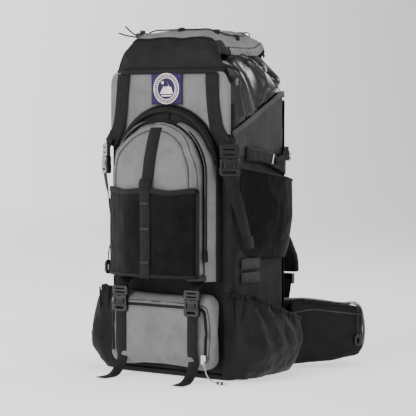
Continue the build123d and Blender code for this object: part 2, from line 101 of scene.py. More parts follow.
def threads(tree, place, direction, pitch_mm):
    """A row of threads or ribs: one soft crest each pitch along a direction, from 0 to 1."""
    along = add(tree, "VectorMath", {"operation": "DOT_PRODUCT", 1: direction}, {0: place})
    turn = add(tree, "Math", {"operation": "MULTIPLY", 1: 2 * math.pi * 1000 / pitch_mm},
               {0: along.outputs["Value"]})
    wave = add(tree, "Math", {"operation": "SINE"}, {0: turn.outputs[0]})
    return add(tree, "Math", {"operation": "MULTIPLY_ADD", 1: 0.5, 2: 0.5}, {0: wave.outputs[0]}).outputs[0]


def woven(name, slot, dark, light, roughness, thread_mm, depth_mm=0.25, sheen=0.0, creases=0.5, gloss=0.12):
    """Plain-weave nylon: warp and weft show as a fine grid of threads, with soft creases from packing.

    The real threads are about 0.6 mm apart; thread_mm draws them coarser so that they show."""
    material, tree, shader = finish(name, slot, roughness, sheen, gloss=gloss)
    place = add(tree, "TexCoord").outputs["Object"]
    warp = threads(tree, place, (0.7, 0.7, 0.0), thread_mm)
    weft = threads(tree, place, (0.15, -0.15, 1.0), thread_mm)
    grid = add(tree, "Math", {"operation": "MULTIPLY"}, {0: warp, 1: weft}).outputs[0]
    fold = add(tree, "TexNoise", {"Scale": 26.0, "Detail": 5.0, "Roughness": 0.55, "Distortion": 0.6},
               {"Vector": place}).outputs["Fac"]
    relief = add(tree, "Math", {"operation": "MULTIPLY_ADD", 1: 6.0 * creases}, {0: fold, 2: grid}).outputs[0]
    bump = add(tree, "Bump", {"Strength": 0.55, "Distance": depth_mm * MM}, {"Height": relief})
    base = dyed(tree, place, dark, light, 34)
    thread = add(tree, "Math", {"operation": "MULTIPLY_ADD", 1: 0.22, 2: 0.86}, {0: grid}).outputs[0]
    cloth = add(tree, "MixRGB", {"blend_type": "MULTIPLY", "Fac": 1.0}, {"Color1": base, "Color2": thread})
    tree.links.new(cloth.outputs["Color"], shader.inputs["Base Color"])
    tree.links.new(bump.outputs["Normal"], shader.inputs["Normal"])
    return material


def webbed(name, slot, dark, light):
    """Polyester webbing, herringbone woven: a rib every 2.4 mm across the strap, and a dull soft face."""
    material, tree, shader = finish(name, slot, 0.7, 0.02)
    place = add(tree, "UVMap", {"uv_map": "cloth"}).outputs["UV"]
    left = threads(tree, place, (0.5, 1.0, 0.0), 2.4)
    right = threads(tree, place, (-0.5, 1.0, 0.0), 2.4)
    cross = threads(tree, place, (1.0, 0.0, 0.0), 3.1)
    herring = add(tree, "MixRGB", links={"Fac": cross, "Color1": left, "Color2": right}).outputs["Color"]
    bump = add(tree, "Bump", {"Strength": 0.8, "Distance": 0.35 * MM}, {"Height": herring})
    base = dyed(tree, place, dark, light, 20)
    cloth = add(tree, "MixRGB", {"blend_type": "MULTIPLY", "Fac": 0.55}, {"Color1": base, "Color2": herring})
    tree.links.new(cloth.outputs["Color"], shader.inputs["Base Color"])
    tree.links.new(bump.outputs["Normal"], shader.inputs["Normal"])
    return material


def netted(name, slot, strand, gap, pitch_mm):
    """Knitted polyester mesh: round holes in a staggered honeycomb, with a smooth glinting strand between.

    The real holes are about 3 mm apart; pitch_mm draws them coarser so that they show."""
    material, tree, shader = finish(name, slot, 0.5, gloss=0.08)
    place = add(tree, "UVMap", {"uv_map": "cloth"}).outputs["UV"]
    rows = [threads(tree, place, way, pitch_mm)
            for way in ((1.0, 0.0, 0.0), (0.5, 0.866, 0.0), (-0.5, 0.866, 0.0))]
    pair = add(tree, "Math", {"operation": "ADD"}, {0: rows[0], 1: rows[1]}).outputs[0]
    cells = add(tree, "Math", {"operation": "ADD"}, {0: pair, 1: rows[2]}).outputs[0]
    depth = add(tree, "Math", {"operation": "MULTIPLY", 1: 0.333}, {0: cells}).outputs[0]
    hole = add(tree, "ValToRGB", {"stops": ((0.42, strand), (0.62, gap))}, {"Fac": depth}).outputs["Color"]
    drift = dyed(tree, place, "#6a6a6a", "#ffffff", 36)
    knit = add(tree, "MixRGB", {"blend_type": "MULTIPLY", "Fac": 1.0}, {"Color1": hole, "Color2": drift})
    bump = add(tree, "Bump", {"Strength": 0.8, "Distance": 0.8 * MM}, {"Height": depth})
    tree.links.new(knit.outputs["Color"], shader.inputs["Base Color"])
    tree.links.new(bump.outputs["Normal"], shader.inputs["Normal"])
    return material


def moulded(name, slot, tone, worn="#4a4a4a", roughness=0.34):
    """Injection-moulded acetal: smooth, dark, a little glossy, with faint flow marks and paler
    rubbed spots."""
    material, tree, shader = finish(name, slot, roughness, coat=0.1, ior=1.48, gloss=0.4)
    place = add(tree, "TexCoord").outputs["Object"]
    flow = add(tree, "TexNoise", {"Scale": 700.0, "Detail": 2.0}, {"Vector": place}).outputs["Fac"]
    bump = add(tree, "Bump", {"Strength": 0.5, "Distance": 0.12 * MM}, {"Height": flow})
    rubbed = dyed(tree, place, tone, worn, 9, (0.55, 0.95))
    tree.links.new(rubbed, shader.inputs["Base Color"])
    tree.links.new(bump.outputs["Normal"], shader.inputs["Normal"])
    return material


def cast_metal(name, slot):
    """Nickel-plated zinc or mill-finished alloy: bright soft highlights with fine tumbling marks."""
    material, tree, shader = finish(name, slot, 0.28, metallic=1.0)
    place = add(tree, "TexCoord").outputs["Object"]
    marks = add(tree, "TexNoise", {"Scale": 1400.0}, {"Vector": place}).outputs["Fac"]
    bump = add(tree, "Bump", {"Strength": 0.4, "Distance": 0.1 * MM}, {"Height": marks})
    tree.links.new(dyed(tree, place, "#a9a9ab", "#dcdcde", 2.5), shader.inputs["Base Color"])
    tree.links.new(bump.outputs["Normal"], shader.inputs["Normal"])
    return material


def braided(name, slot, dark, light, pitch_mm):
    """Braided cord: two sets of yarns cross along it, and some yarns are of a second colour."""
    material, tree, shader = finish(name, slot, 0.6, 0.4)
    place = add(tree, "TexCoord").outputs["Object"]
    one = threads(tree, place, (0.6, 0.6, 1.0), pitch_mm)
    two = threads(tree, place, (0.6, 0.6, -1.0), pitch_mm)
    knit = add(tree, "Math", {"operation": "MULTIPLY"}, {0: one, 1: two}).outputs[0]
    yarns = add(tree, "ValToRGB", {"stops": ((0.2, dark), (0.8, light))}, {"Fac": knit}).outputs["Color"]
    bump = add(tree, "Bump", {"Strength": 0.8, "Distance": 0.4 * MM}, {"Height": knit})
    tree.links.new(yarns, shader.inputs["Base Color"])
    tree.links.new(bump.outputs["Normal"], shader.inputs["Normal"])
    return material


def coil_zip(name, slot):
    """Nylon coil zip: a close row of teeth, drawn 2 mm apart, between two flat tapes."""
    material, tree, shader = finish(name, slot, 0.5, 0.1)
    place = add(tree, "UVMap", {"uv_map": "cloth"}).outputs["UV"]
    teeth = threads(tree, place, (0.0, 1.0, 0.0), 2.0)
    tones = add(tree, "ValToRGB", {"stops": ((0.1, "#030303"), (0.9, "#141414"))},
                {"Fac": teeth}).outputs["Color"]
    bump = add(tree, "Bump", {"Strength": 0.9, "Distance": 0.5 * MM}, {"Height": teeth})
    tree.links.new(tones, shader.inputs["Base Color"])
    tree.links.new(bump.outputs["Normal"], shader.inputs["Normal"])
    return material


# Coated pack cloth, ash grey: the lid top, the apron, the pockets and their gussets.
ASH = woven("pack_cloth_ash_grey", "ash_nylon", "#656565", "#727272", 0.6, 2.2, sheen=0.03, gloss=0.2)
ASH_TRIM = woven("binding_ash_grey", "ash_nylon", "#3a3a3a", "#464646", 0.6, 1.8, sheen=0.04)
# The same cloth in black and in charcoal: the lid's front band, the sack's sides, its base and its trim.
BLACK = woven("pack_cloth_black", "black_nylon", "#151515", "#1d1d1d", 0.6, 2.2, sheen=0.01)
CHARCOAL = woven("pack_cloth_charcoal", "charcoal_nylon", "#2a2a2a", "#333333", 0.6, 2.2, sheen=0.04)
# Thin calendered taffeta: the storm collar, smooth and shiny with soft bright folds.
TAFFETA = woven("taffeta_black", "black_taffeta", "#0b0b0b", "#131313", 0.27, 1.8, 0.1, 0.0, 0.15, 0.5)
WEBBING = webbed("webbing_black", "webbing", "#1b1b1b", "#242424")
LIGHT_WEBBING = webbed("webbing_faded", "webbing", "#333333", "#3e3e3e")
MESH = netted("knitted_mesh_black", "black_mesh", "#151515", "#010101", 5.0)
# Spacer cloth over closed-cell foam: the back, the shoulder straps and the hip belt.
FOAM_SKIN = woven("spacer_cloth_black", "foam_pad", "#101010", "#171717", 0.75, 3.2, 0.5, 0.05, 0.3)
ACETAL = moulded("acetal_black", "black_acetal", "#060606", "#181818", roughness=0.26)
FRAME_PLASTIC = moulded("frame_sheet_polyethylene", "frame_plastic", "#141414", "#222222", roughness=0.5)
ALUMINIUM = cast_metal("stay_aluminium", "stay_aluminium")
ZINC = cast_metal("zip_zinc", "zip_metal")
PULL_CORD = braided("reflective_cord", "pull_cord", "#77777a", "#e8e8e4", 2.2)
BLACK_CORD = braided("pull_cord_black", "pull_cord", "#060606", "#1c1c1c", 2.0)
SHOCK_CORD = braided("shock_cord_black", "lash_cord", "#050505", "#161616", 2.0)
ZIP = coil_zip("coil_zip_black", "webbing")
BADGE_CLOTH = woven("badge_twill_indigo", "badge_cloth", "#2d2446", "#352b50", 0.7, 1.8, 0.2, 0.05, 0.05)
BADGE_THREAD = woven("badge_thread_cream", "badge_cloth", "#d8cfc6", "#efe7de", 0.6, 1.4, 0.3, 0.05, 0.05)


# ------------------------------------------------------------------------ mesh building
def new_object(name, data):
    made = bpy.data.objects.new(name, data)
    bpy.context.scene.collection.objects.link(made)
    return made


def mesh_object(name, points, faces, uvs=None, smooth=True):
    """A mesh from points in millimetres, with cloth coordinates in metres when they are given."""
    data = bpy.data.meshes.new(name)
    data.from_pydata([tuple(c * MM for c in p) for p in points], [], faces)
    data.validate()
    data.update()
    layer = data.uv_layers.new(name="cloth")
    if uvs is not None:
        for loop in data.loops:
            layer.data[loop.index].uv = uvs[loop.vertex_index]
    data.polygons.foreach_set("use_smooth", [smooth] * len(data.polygons))
    return new_object(name, data)


def apply_modifiers(made):
    """Bake an object's modifiers into its mesh."""
    bpy.context.view_layer.update()
    graph = bpy.context.evaluated_depsgraph_get()
    data = bpy.data.meshes.new_from_object(made.evaluated_get(graph), depsgraph=graph)
    made.modifiers.clear()
    made.data = data
    data.polygons.foreach_set("use_smooth", [True] * len(data.polygons))
    return made


def skin(name, surface, columns, rows, thick=1.6, wrap=False):
    """A cloth panel: surface(u, v) gives a point in millimetres for u across and v along, both 0 to 1."""
    count = columns if wrap else columns + 1
    grid = np.array([[surface(i / columns, j / rows) for i in range(count)] for j in range(rows + 1)], float)
    across = np.linalg.norm(np.diff(grid[rows // 2], axis=0), axis=1).cumsum()
    along = np.linalg.norm(np.diff(grid[:, count // 2], axis=0), axis=1).cumsum()
    us = np.concatenate([[0], across]) * MM
    vs = np.concatenate([[0], along]) * MM
    faces = []
    for j in range(rows):
        for i in range(columns):
            k = (i + 1) % count
            faces.append((j * count + i, j * count + k, (j + 1) * count + k, (j + 1) * count + i))
    uvs = [(us[i], vs[j]) for j in range(rows + 1) for i in range(count)]
    made = mesh_object(name, grid.reshape(-1, 3), faces, uvs)
    if thick:
        shell = made.modifiers.new("thickness", "SOLIDIFY")
        shell.thickness = thick * MM
        shell.offset = -1.0
        apply_modifiers(made)
    return made


def smooth_path(points, step=4.0):
    """A soft path through the given points, in millimetres."""
    spots = [Vector(p) for p in points]
    ends = [2 * spots[0] - spots[1], *spots, 2 * spots[-1] - spots[-2]]
    path = []
    for a, b, c, d in zip(ends, ends[1:], ends[2:], ends[3:]):
        count = max(2, int((c - b).length / step))
        for i in range(count):
            t = i / count
            path.append(0.5 * (2 * b + (c - a) * t + (2 * a - 5 * b + 4 * c - d) * t * t
                               + (3 * b - a - 3 * c + d) * t ** 3))
    return [*path, spots[-1]]


def strap(name, route, width, across=None, face=None, thick=1.7, step=4.0):
    """Flat webbing along a route. across is its width's way, or face its outward normal: one or many."""
    path = smooth_path(route, step)
    given = across if across is not None else face
    turned = [Vector(g) for g in given] if hasattr(given[0], "__len__") else [Vector(given)] * 2
    share = np.linspace(0, 1, len(path))
    knots = np.linspace(0, 1, len(turned))
    turns = [Vector([np.interp(s, knots, [t[k] for t in turned]) for k in range(3)]) for s in share]
    profile = [(-0.5, 0), (-0.48, 0.5), (-0.2, 0.56), (0.2, 0.56), (0.48, 0.5), (0.5, 0), (0.48, -0.5),
               (-0.48, -0.5)]
    points, uvs, faces, run = [], [], [], 0.0
    for i, spot in enumerate(path):
        ahead = (path[min(i + 1, len(path) - 1)] - path[max(i - 1, 0)]).normalized()
        side = turns[i].normalized() if across is not None else ahead.cross(turns[i].normalized()).normalized()
        out = side.cross(ahead).normalized()
        run += (spot - path[max(i - 1, 0)]).length
        for over, up in profile:
            points.append(spot + side * over * width + out * up * thick)
            uvs.append(((over + 0.5) * width * MM, run * MM))
    count = len(profile)
    for i in range(len(path) - 1):
        for k in range(count):
            n = (k + 1) % count
            faces.append((i * count + k, (i + 1) * count + k, (i + 1) * count + n, i * count + n))
    faces.append(tuple(range(count)))
    faces.append(tuple(range((len(path) - 1) * count, len(path) * count))[::-1])
    return mesh_object(name, points, faces, uvs)


def piping(name, route, radius, step=5.0, closed=False):
    """A thin round binding or seam roll along a route."""
    path = smooth_path(route, step)
    curve = bpy.data.curves.new(name, "CURVE")
    curve.dimensions = "3D"
    curve.bevel_depth = radius * MM
    curve.bevel_resolution = 2
    line = curve.splines.new("POLY")
    line.points.add(len(path) - 1)
    for point, spot in zip(line.points, path):
        point.co = (*(spot * MM), 1)
    line.use_cyclic_u = closed
    made = new_object(name, curve)
    graph = bpy.context.evaluated_depsgraph_get()
    data = bpy.data.meshes.new_from_object(made.evaluated_get(graph), depsgraph=graph)
    bpy.data.objects.remove(made)
    if not data.uv_layers:
        data.uv_layers.new(name="cloth")
    data.uv_layers[0].name = "cloth"
    data.polygons.foreach_set("use_smooth", [True] * len(data.polygons))
    return new_object(name, data)


def plate(name, outlines, thick, rim, to_place):
    """A moulded plate: the first outline is its edge and the rest are its windows, in millimetres."""
    curve = bpy.data.curves.new(name, "CURVE")
    curve.dimensions = "2D"
    curve.fill_mode = "BOTH"
    curve.extrude = max(thick / 2 - rim, 0.05) * MM
    curve.bevel_depth = rim * MM
    curve.bevel_resolution = 2
    for outline in outlines:
        line = curve.splines.new("POLY")
        line.points.add(len(outline) - 1)
        for point, (across, up) in zip(line.points, outline):
            point.co = (across * MM, up * MM, 0, 1)
        line.use_cyclic_u = True
    made = new_object(name, curve)
    graph = bpy.context.evaluated_depsgraph_get()
    data = bpy.data.meshes.new_from_object(made.evaluated_get(graph), depsgraph=graph)
    bpy.data.objects.remove(made)
    data.transform(to_place)
    return data


def joined(name, datas, smooth_angle=0.7):
    """Several meshes as one piece."""
    together = bmesh.new()
    for data in datas:
        together.from_mesh(data)
    data = bpy.data.meshes.new(name)
    together.to_mesh(data)
    together.free()
    data.polygons.foreach_set("use_smooth", [True] * len(data.polygons))
    if not data.uv_layers:
        data.uv_layers.new(name="cloth")
    made = new_object(name, data)
    data.set_sharp_from_angle(angle=smooth_angle)
    return made


def frame_at(origin, across, up):
    """Turns a plate's own axes (across, up, out) into the pack's, with its origin in millimetres."""
    x, y = Vector(across).normalized(), Vector(up).normalized()
    z = x.cross(y).normalized()
    place = Matrix((x, y, z)).transposed().to_4x4()
    place.translation = Vector(origin) * MM
    return place


def rounded(width, height, corner, centre=(0, 0), steps=4):
    """A rectangle with round corners, as an outline."""
    outline = []
    for turn, (sx, sy) in enumerate(((1, 1), (-1, 1), (-1, -1), (1, -1))):
        for i in range(steps + 1):
            angle = math.radians(90 * turn + 90 * i / steps)
            outline.append((centre[0] + sx * (width / 2 - corner) + corner * math.cos(angle),
                            centre[1] + sy * (height / 2 - corner) + corner * math.sin(angle)))
    return outline


def crumple(spot, size_mm, seed=0.0, stretch=(1, 1, 1), octaves=3):
    """Smooth noise from -1 to 1 whose folds run along the longer stretch."""
    p = Vector((spot[0] / stretch[0], spot[1] / stretch[1], spot[2] / stretch[2])) / size_mm
    return noise.fractal(p + Vector((seed, seed * 1.7, -seed)), 0.9, 2.0, octaves)


def held_back(made, hold):
    """Keeps a filled bag behind what slides or hangs over it: hold(point) gives a point's place, in mm."""
    for vertex in made.data.vertices:
        vertex.co = Vector(hold(vertex.co / MM)) * MM
    made.data.update()
    return made


def displace(made, amount):
    """Move each point along its normal by amount(point in mm, normal), in millimetres."""
    data = made.data
    normals = [Vector(v.normal) for v in data.vertices]
    for vertex, normal in zip(data.vertices, normals):
        vertex.co += normal * amount(vertex.co / MM, normal) * MM
    data.update()
    return made


def stuffed(name, node, shrink, cap, pressure=4.0, voxel=5.0):
    """A filled bag from its plain solid: remeshed, blown up as cloth, held to a cap, then subdivided once."""
    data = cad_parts[node].data.copy()
    made = new_object(name, data)
    made.data.materials.clear()
    centre = sum((Vector(v.co) for v in data.vertices), Vector()) / len(data.vertices)
    low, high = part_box(node)
    size = high - low
    for vertex in data.vertices:
        offset = vertex.co - centre
        for k in range(3):
            offset[k] *= max(0.5, 1 - 2 * shrink * MM / max(size[k], 0.004))
        vertex.co = centre + offset
    remesh = made.modifiers.new("remesh", "REMESH")
    remesh.mode = "VOXEL"
    remesh.voxel_size = voxel * MM
    apply_modifiers(made)
    rest = np.array([v.co for v in made.data.vertices])
    cloth = made.modifiers.new("cloth", "CLOTH")
    cloth.settings.use_pressure = True
    cloth.settings.uniform_pressure_force = pressure
    cloth.settings.quality = 4
    cloth.settings.effector_weights.gravity = 0.0
    cloth.point_cache.frame_start = 1
    cloth.point_cache.frame_end = 20
    scene = bpy.context.scene
    for step in range(1, 21):
        scene.frame_set(step)
    apply_modifiers(made)
    moved = np.array([v.co for v in made.data.vertices])
    shift = moved - rest
    length = np.linalg.norm(shift, axis=1, keepdims=True)
    moved = rest + shift * np.minimum(1.0, cap * MM / np.maximum(length, 1e-9))
    made.data.vertices.foreach_set("co", moved.astype(np.float32).ravel())
    scene.frame_set(1)
    smooth = made.modifiers.new("smooth", "SMOOTH")
    smooth.factor, smooth.iterations = 0.5, 3
    finer = made.modifiers.new("finer", "SUBSURF")
    finer.levels = finer.render_levels = 1
    return apply_modifiers(made)


def softened(name, node, voxel=4.0, rounds=8, finer=0):
    """A moulded foam or cloth form from its plain solid: remeshed and rubbed smooth."""
    made = new_object(name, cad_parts[node].data.copy())
    made.data.materials.clear()
    remesh = made.modifiers.new("remesh", "REMESH")
    remesh.mode = "VOXEL"
    remesh.voxel_size = voxel * MM
    rub = made.modifiers.new("smooth", "SMOOTH")
    rub.factor, rub.iterations = 0.5, rounds
    if finer:
        more = made.modifiers.new("finer", "SUBSURF")
        more.levels = more.render_levels = finer
    apply_modifiers(made)
    if not made.data.uv_layers:
        made.data.uv_layers.new(name="cloth")
    return made


def stitches(name, routes, out, stitch=3.2, gap=1.6, width=0.8):
    """Rows of sewn stitches, each a small raised bar, along routes that lie on a surface."""
    points, faces = [], []
    for route in routes:
        path = smooth_path(route, 3.0)
        lengths = np.concatenate([[0], np.cumsum([(b - a).length for a, b in zip(path, path[1:])])])
        spots = np.array(path)
        run = 0.0
        while run + stitch < lengths[-1]:
            ends = [Vector([np.interp(s, lengths, spots[:, k]) for k in range(3)])
                    for s in (run, run + stitch)]
            along = (ends[1] - ends[0]).normalized()
            face = Vector(out).normalized()
            side = along.cross(face).normalized() * width / 2
            start = len(points)
            for end, lift in ((ends[0], 0.0), (ends[0] + along * 0.7, 0.6), (ends[1] - along * 0.7, 0.6),
                              (ends[1], 0.0)):
                points.extend([end - side + face * lift, end + side + face * lift])
            for k in range(3):
                a = start + 2 * k
                faces.append((a, a + 1, a + 3, a + 2))
            run += stitch + gap
    return mesh_object(name, points, faces, [(0, 0)] * len(points))


def laid_on(piece, spots, cast, lift=0.6):
    """Points carried onto a piece's surface and lifted off it a little, in mm.

    A point that misses is left out.
    """
    bm = bmesh.new()
    bm.from_mesh(piece.data)
    tree = BVHTree.FromBMesh(bm)
    bm.free()
    found = []
    for spot, way in zip(spots, cast if hasattr(cast[0], "__len__") else [cast] * len(spots)):
        way = Vector(way).normalized()
        hit = tree.ray_cast(Vector(spot) * MM - way * 0.2, way)[0]
        if hit is not None:
            found.append(hit / MM - way * lift)
    return found


def several(name, pieces):
    """Several meshes that are one sewn or moulded part, as one piece."""
    together = bmesh.new()
    materials = []
    for piece in pieces:
        start = len(together.faces)
        together.from_mesh(piece.data)
        together.faces.ensure_lookup_table()
        own = [m for m in piece.data.materials]
        for face in together.faces[start:]:
            material = own[min(face.material_index, len(own) - 1)] if own else None
            if material not in materials:
                materials.append(material)
            face.material_index = materials.index(material)
        bpy.data.objects.remove(piece)
    data = bpy.data.meshes.new(name)
    together.to_mesh(data)
    together.free()
    for material in materials:
        data.materials.append(material)
    return new_object(name, data)


def dressed(piece, material):
    """A mesh given one material."""
    piece.data.materials.clear()
    piece.data.materials.append(material)
    return piece


def place(piece, body, slot, *nodes):
    """Hand a finished piece to its body and hide the CAD nodes that it stands for. The slot is not used."""
    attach(piece, body)
    if nodes:
        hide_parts(*nodes)
    return piece


# ------------------------------------------------------------------------ camera and cords
BACK = Vector((math.sin(math.radians(34)) * math.cos(math.radians(3)),
               -math.cos(math.radians(34)) * math.cos(math.radians(3)), math.sin(math.radians(3))))
camera = bpy.data.objects.new("camera", bpy.data.cameras.new("camera"))
camera.data.lens = 1700 / 416 * 36
camera.data.sensor_width = 36
camera.data.shift_x = 0.0161
camera.data.shift_y = -0.0192
camera.location = Vector((0, 0, 0.35)) + BACK * 3.5
camera.rotation_euler = BACK.to_track_quat("Z", "Y").to_euler()
bpy.context.scene.collection.objects.link(camera)
bpy.context.scene.camera = camera


def soft_line(name, spots, diameter):
    """A cord on one NURBS line through its own route, in metres."""
    curve = bpy.data.curves.new(name, "CURVE")
    curve.dimensions = "3D"
    line = curve.splines.new("NURBS")
    line.points.add(len(spots) - 1)
    for point, spot in zip(line.points, spots):
        point.co = (*spot, 1)
    line.order_u = 3
    line.use_endpoint_u = True
    line.resolution_u = 12
    curve.bevel_depth = diameter / 2
    curve.bevel_resolution = 3
    return new_object(name, curve)


def run_of(cord):
    """The length of a cord's own line, in metres, and its points."""
    plain = cord.data.copy()
    plain.bevel_depth = 0
    bare = new_object("bare_line", plain)
    bpy.context.view_layer.update()
    data = bpy.data.meshes.new_from_object(bare.evaluated_get(bpy.context.evaluated_depsgraph_get()))
    spots = [v.co.copy() for v in data.vertices]
    bpy.data.objects.remove(bare)
    return sum((b - a).length for a, b in zip(spots, spots[1:])), spots


front_pull = soft_line("front_pull_cord_braid", [
    (-0.1196, -0.149, 0.268), (-0.1224, -0.152, 0.257), (-0.1234, -0.154, 0.244), (-0.1224, -0.155, 0.232)],
    0.0024)
bottom_pull = soft_line("bottom_pull_cord_braid", [
    (0.114, -0.1614, 0.044), (0.118, -0.163, 0.031), (0.124, -0.165, 0.018), (0.133, -0.164, 0.008),
    (0.145, -0.161, 0.005)], 0.0026)
belt_pull = soft_line("belt_pull_cord_braid", [
    (0.2343, 0.2282, 0.132), (0.2425, 0.2233, 0.127), (0.2463, 0.2217, 0.114), (0.2457, 0.2209, 0.090),
    (0.2463, 0.2217, 0.066)], 0.0024)
upper_tail = soft_line("lash_tail_upper", [
    (-0.1044, -0.073, 0.6842), (-0.112, -0.078, 0.6892), (-0.121, -0.084, 0.6972), (-0.128, -0.088, 0.7062)],
    0.0032)
lower_tail = soft_line("lash_tail_lower", [
    (-0.1044, -0.077, 0.6832), (-0.114, -0.084, 0.6852), (-0.126, -0.092, 0.6872), (-0.137, -0.099, 0.6922)],
    0.0032)
for cord_piece, finish_of, body, node, slot_name in (
        (front_pull, BLACK_CORD, "front_zip", "front_pull_cord", "pull_cord"),
        (bottom_pull, PULL_CORD, "bottom_zip", "bottom_pull_cord", "pull_cord"),
        (belt_pull, BLACK_CORD, "belt_zip_right", "belt_pull_cord", "pull_cord"),
        (upper_tail, SHOCK_CORD, "lid", "lash_tails", "lash_cord"),
        (lower_tail, SHOCK_CORD, "lid", "lash_tails", "lash_cord")):
    cord_piece.data.materials.append(finish_of)
    place(cord_piece, body, slot_name, node)


# --------------------------------------------------------------------------- moulded parts
def loop_ring(name, centre, across, up, width, height, thick, body, node, slot_name="black_acetal"):
    """A moulded pull ring: a long round loop with a wider foot."""
    place_at = frame_at(centre, across, up)
    outer = rounded(width, height, width * 0.46)
    hole = rounded(width * 0.5, height * 0.62, width * 0.22, (0, -height * 0.04))
    ring = joined(name, [plate(name + "_form", [outer, hole], thick, 1.2, place_at)])
    return place(dressed(ring, ACETAL), body, slot_name, node)


belt_along = {1: Vector((math.cos(math.radians(53)), math.sin(math.radians(53)), 0)),
              -1: Vector((-math.cos(math.radians(53)), math.sin(math.radians(53)), 0))}
belt_out = {1: Vector((math.sin(math.radians(53)), -math.cos(math.radians(53)), 0)),
            -1: Vector((-math.sin(math.radians(53)), -math.cos(math.radians(53)), 0))}


def belt_spot(side, along, outward, height):
    """A point of the pack from its place on one hip belt wing, in millimetres."""
    return Vector((side * 104, 106, 0)) + belt_along[side] * along + belt_out[side] * outward + Vector((0,
                                                                                                   0, height))


front_ring = loop_ring("front_pull_ring_moulded", (-122.5, -156, 218), (0, -1, 0), (0, 0, 1), 16, 26, 5,
                       "front_zip", "front_pull_ring", "pull_cord")
belt_ring = loop_ring("belt_pull_ring_moulded", belt_spot(1, 178, 44, 54), belt_along[1], (0, 0, 1), 14, 23,
                      4,
                      "belt_zip_right", "belt_pull_ring", "pull_cord")

grip_way = Vector((12, 3, -0.5)).normalized()
grip_start = Vector((145.4, -160.9, 4.8))
sleeve = piping("bottom_pull_sleeve", [grip_start, grip_start + grip_way * 6, grip_start + grip_way * 13],
                3.1)
tip = piping("bottom_pull_tip", [grip_start + grip_way * 12, grip_start + grip_way * 16,
                                 grip_start + grip_way * 20], 2.6)
band = piping("bottom_pull_band", [grip_start + grip_way * 5, grip_start + grip_way * 8], 3.4)
bottom_grip = several("bottom_pull_grip_sleeve", [dressed(sleeve, ACETAL), dressed(tip, BADGE_THREAD),
                                                  dressed(band, BADGE_THREAD)])
place(bottom_grip, "bottom_zip", "pull_cord", "bottom_pull_grip")

run_of(front_pull)[0]
run_of(bottom_pull)[0]
run_of(belt_pull)[0]
run_of(upper_tail)[0]
run_of(lower_tail)[0]


def female_half(name, place_at, width, height, thick, body, node):
    """A side-release buckle's socket: a rimmed body, two side windows, a ribbed face and a webbing bar."""
    half, top, foot = width / 2, height / 2, -height / 2
    body_line = [(-half + 2.5, foot), (half - 2.5, foot), (half, foot + 4), (half, foot + height * 0.42),
                 (half - 1.6, foot + height * 0.6), (half - 1.2, top - 2), (half - 3.5, top),
                 (5, top), (3, top - 2.5), (-3, top - 2.5), (-5, top), (-half + 3.5, top),
                 (-half + 1.2, top - 2), (-half + 1.6, foot + height * 0.6), (-half, foot + height * 0.42),
                 (-half, foot + 4)]
    windows = [rounded(5.0, height * 0.42, 2.2, (s * (half - 6.0), foot + height * 0.64)) for s in (1, -1)]
    bar = rounded(width - 10, 6.2, 1.4, (0, foot + 6.4))
    lift = Matrix.Translation((0, 0, thick * 0.5 * MM))
    ribs = [plate(name + "_rib", [rounded(width * 0.42, 1.5, 0.7, (0, foot + height * (0.42 + 0.09 * k)))],
                  1.6,
                  0.5, place_at @ lift) for k in range(4)]
    collar = plate(name + "_collar", [rounded(width * 0.94, 3.0, 1.2, (0, foot + 11.4))], thick + 1.6, 0.9,
                   place_at)
    shell = plate(name + "_shell", [body_line, *windows, bar], thick, 1.7, place_at)
    made = joined(name, [shell, collar, *ribs])
    return place(dressed(made, ACETAL), body, "black_acetal", node)


def male_half(name, place_at, width, height, thick, reach):
    """A side-release buckle's plug: a slotted bar for the webbing and three prongs, its middle at the bar."""
    half = width / 2
    slots = [rounded(width - 9, 4.2, 1.2, (0, s * height * 0.2)) for s in (1, -1)]
    bar = plate(name + "_bar", [rounded(width, height, 3.5), *slots], thick, 1.6, place_at)
    arms = [plate(name + "_arm", [[(s * (half - 3.0), -height / 2 + 2), (s * (half - 7.0), -height / 2 + 2),
                                   (s * (half - 7.5), -height / 2 - reach * 0.7),
                                   (s * (half - 5.0), -height / 2 - reach),
                                   (s * (half - 3.2), -height / 2 - reach * 0.8)][::s]],
                  thick * 0.6, 0.8, place_at) for s in (1, -1)]
    spine = plate(name + "_spine", [rounded(4.5, reach + 3, 1.6, (0, -height / 2 - reach / 2 + 1.5))],
                  thick * 0.7,
                  0.9, place_at)
    return joined(name, [bar, spine, *arms])


def cord_lock(name, place_at, width, height, thick):
    """A spring cord lock: a short barrel with a waist, a bore and a button."""
    waist = [(-width / 2, -height / 2), (width / 2, -height / 2), (width / 2, -height * 0.1),
             (width * 0.42, height * 0.05), (width / 2, height * 0.2), (width * 0.34, height * 0.26),
             (width * 0.34, height / 2), (-width * 0.34, height / 2), (-width * 0.34, height * 0.26),
             (-width / 2, height * 0.2), (-width * 0.42, height * 0.05), (-width / 2, -height * 0.1)]
    bore = rounded(width * 0.42, width * 0.42, width * 0.2, (0, -height * 0.22))
    return joined(name, [plate(name + "_form", [waist, bore], thick, thick * 0.3, place_at)])


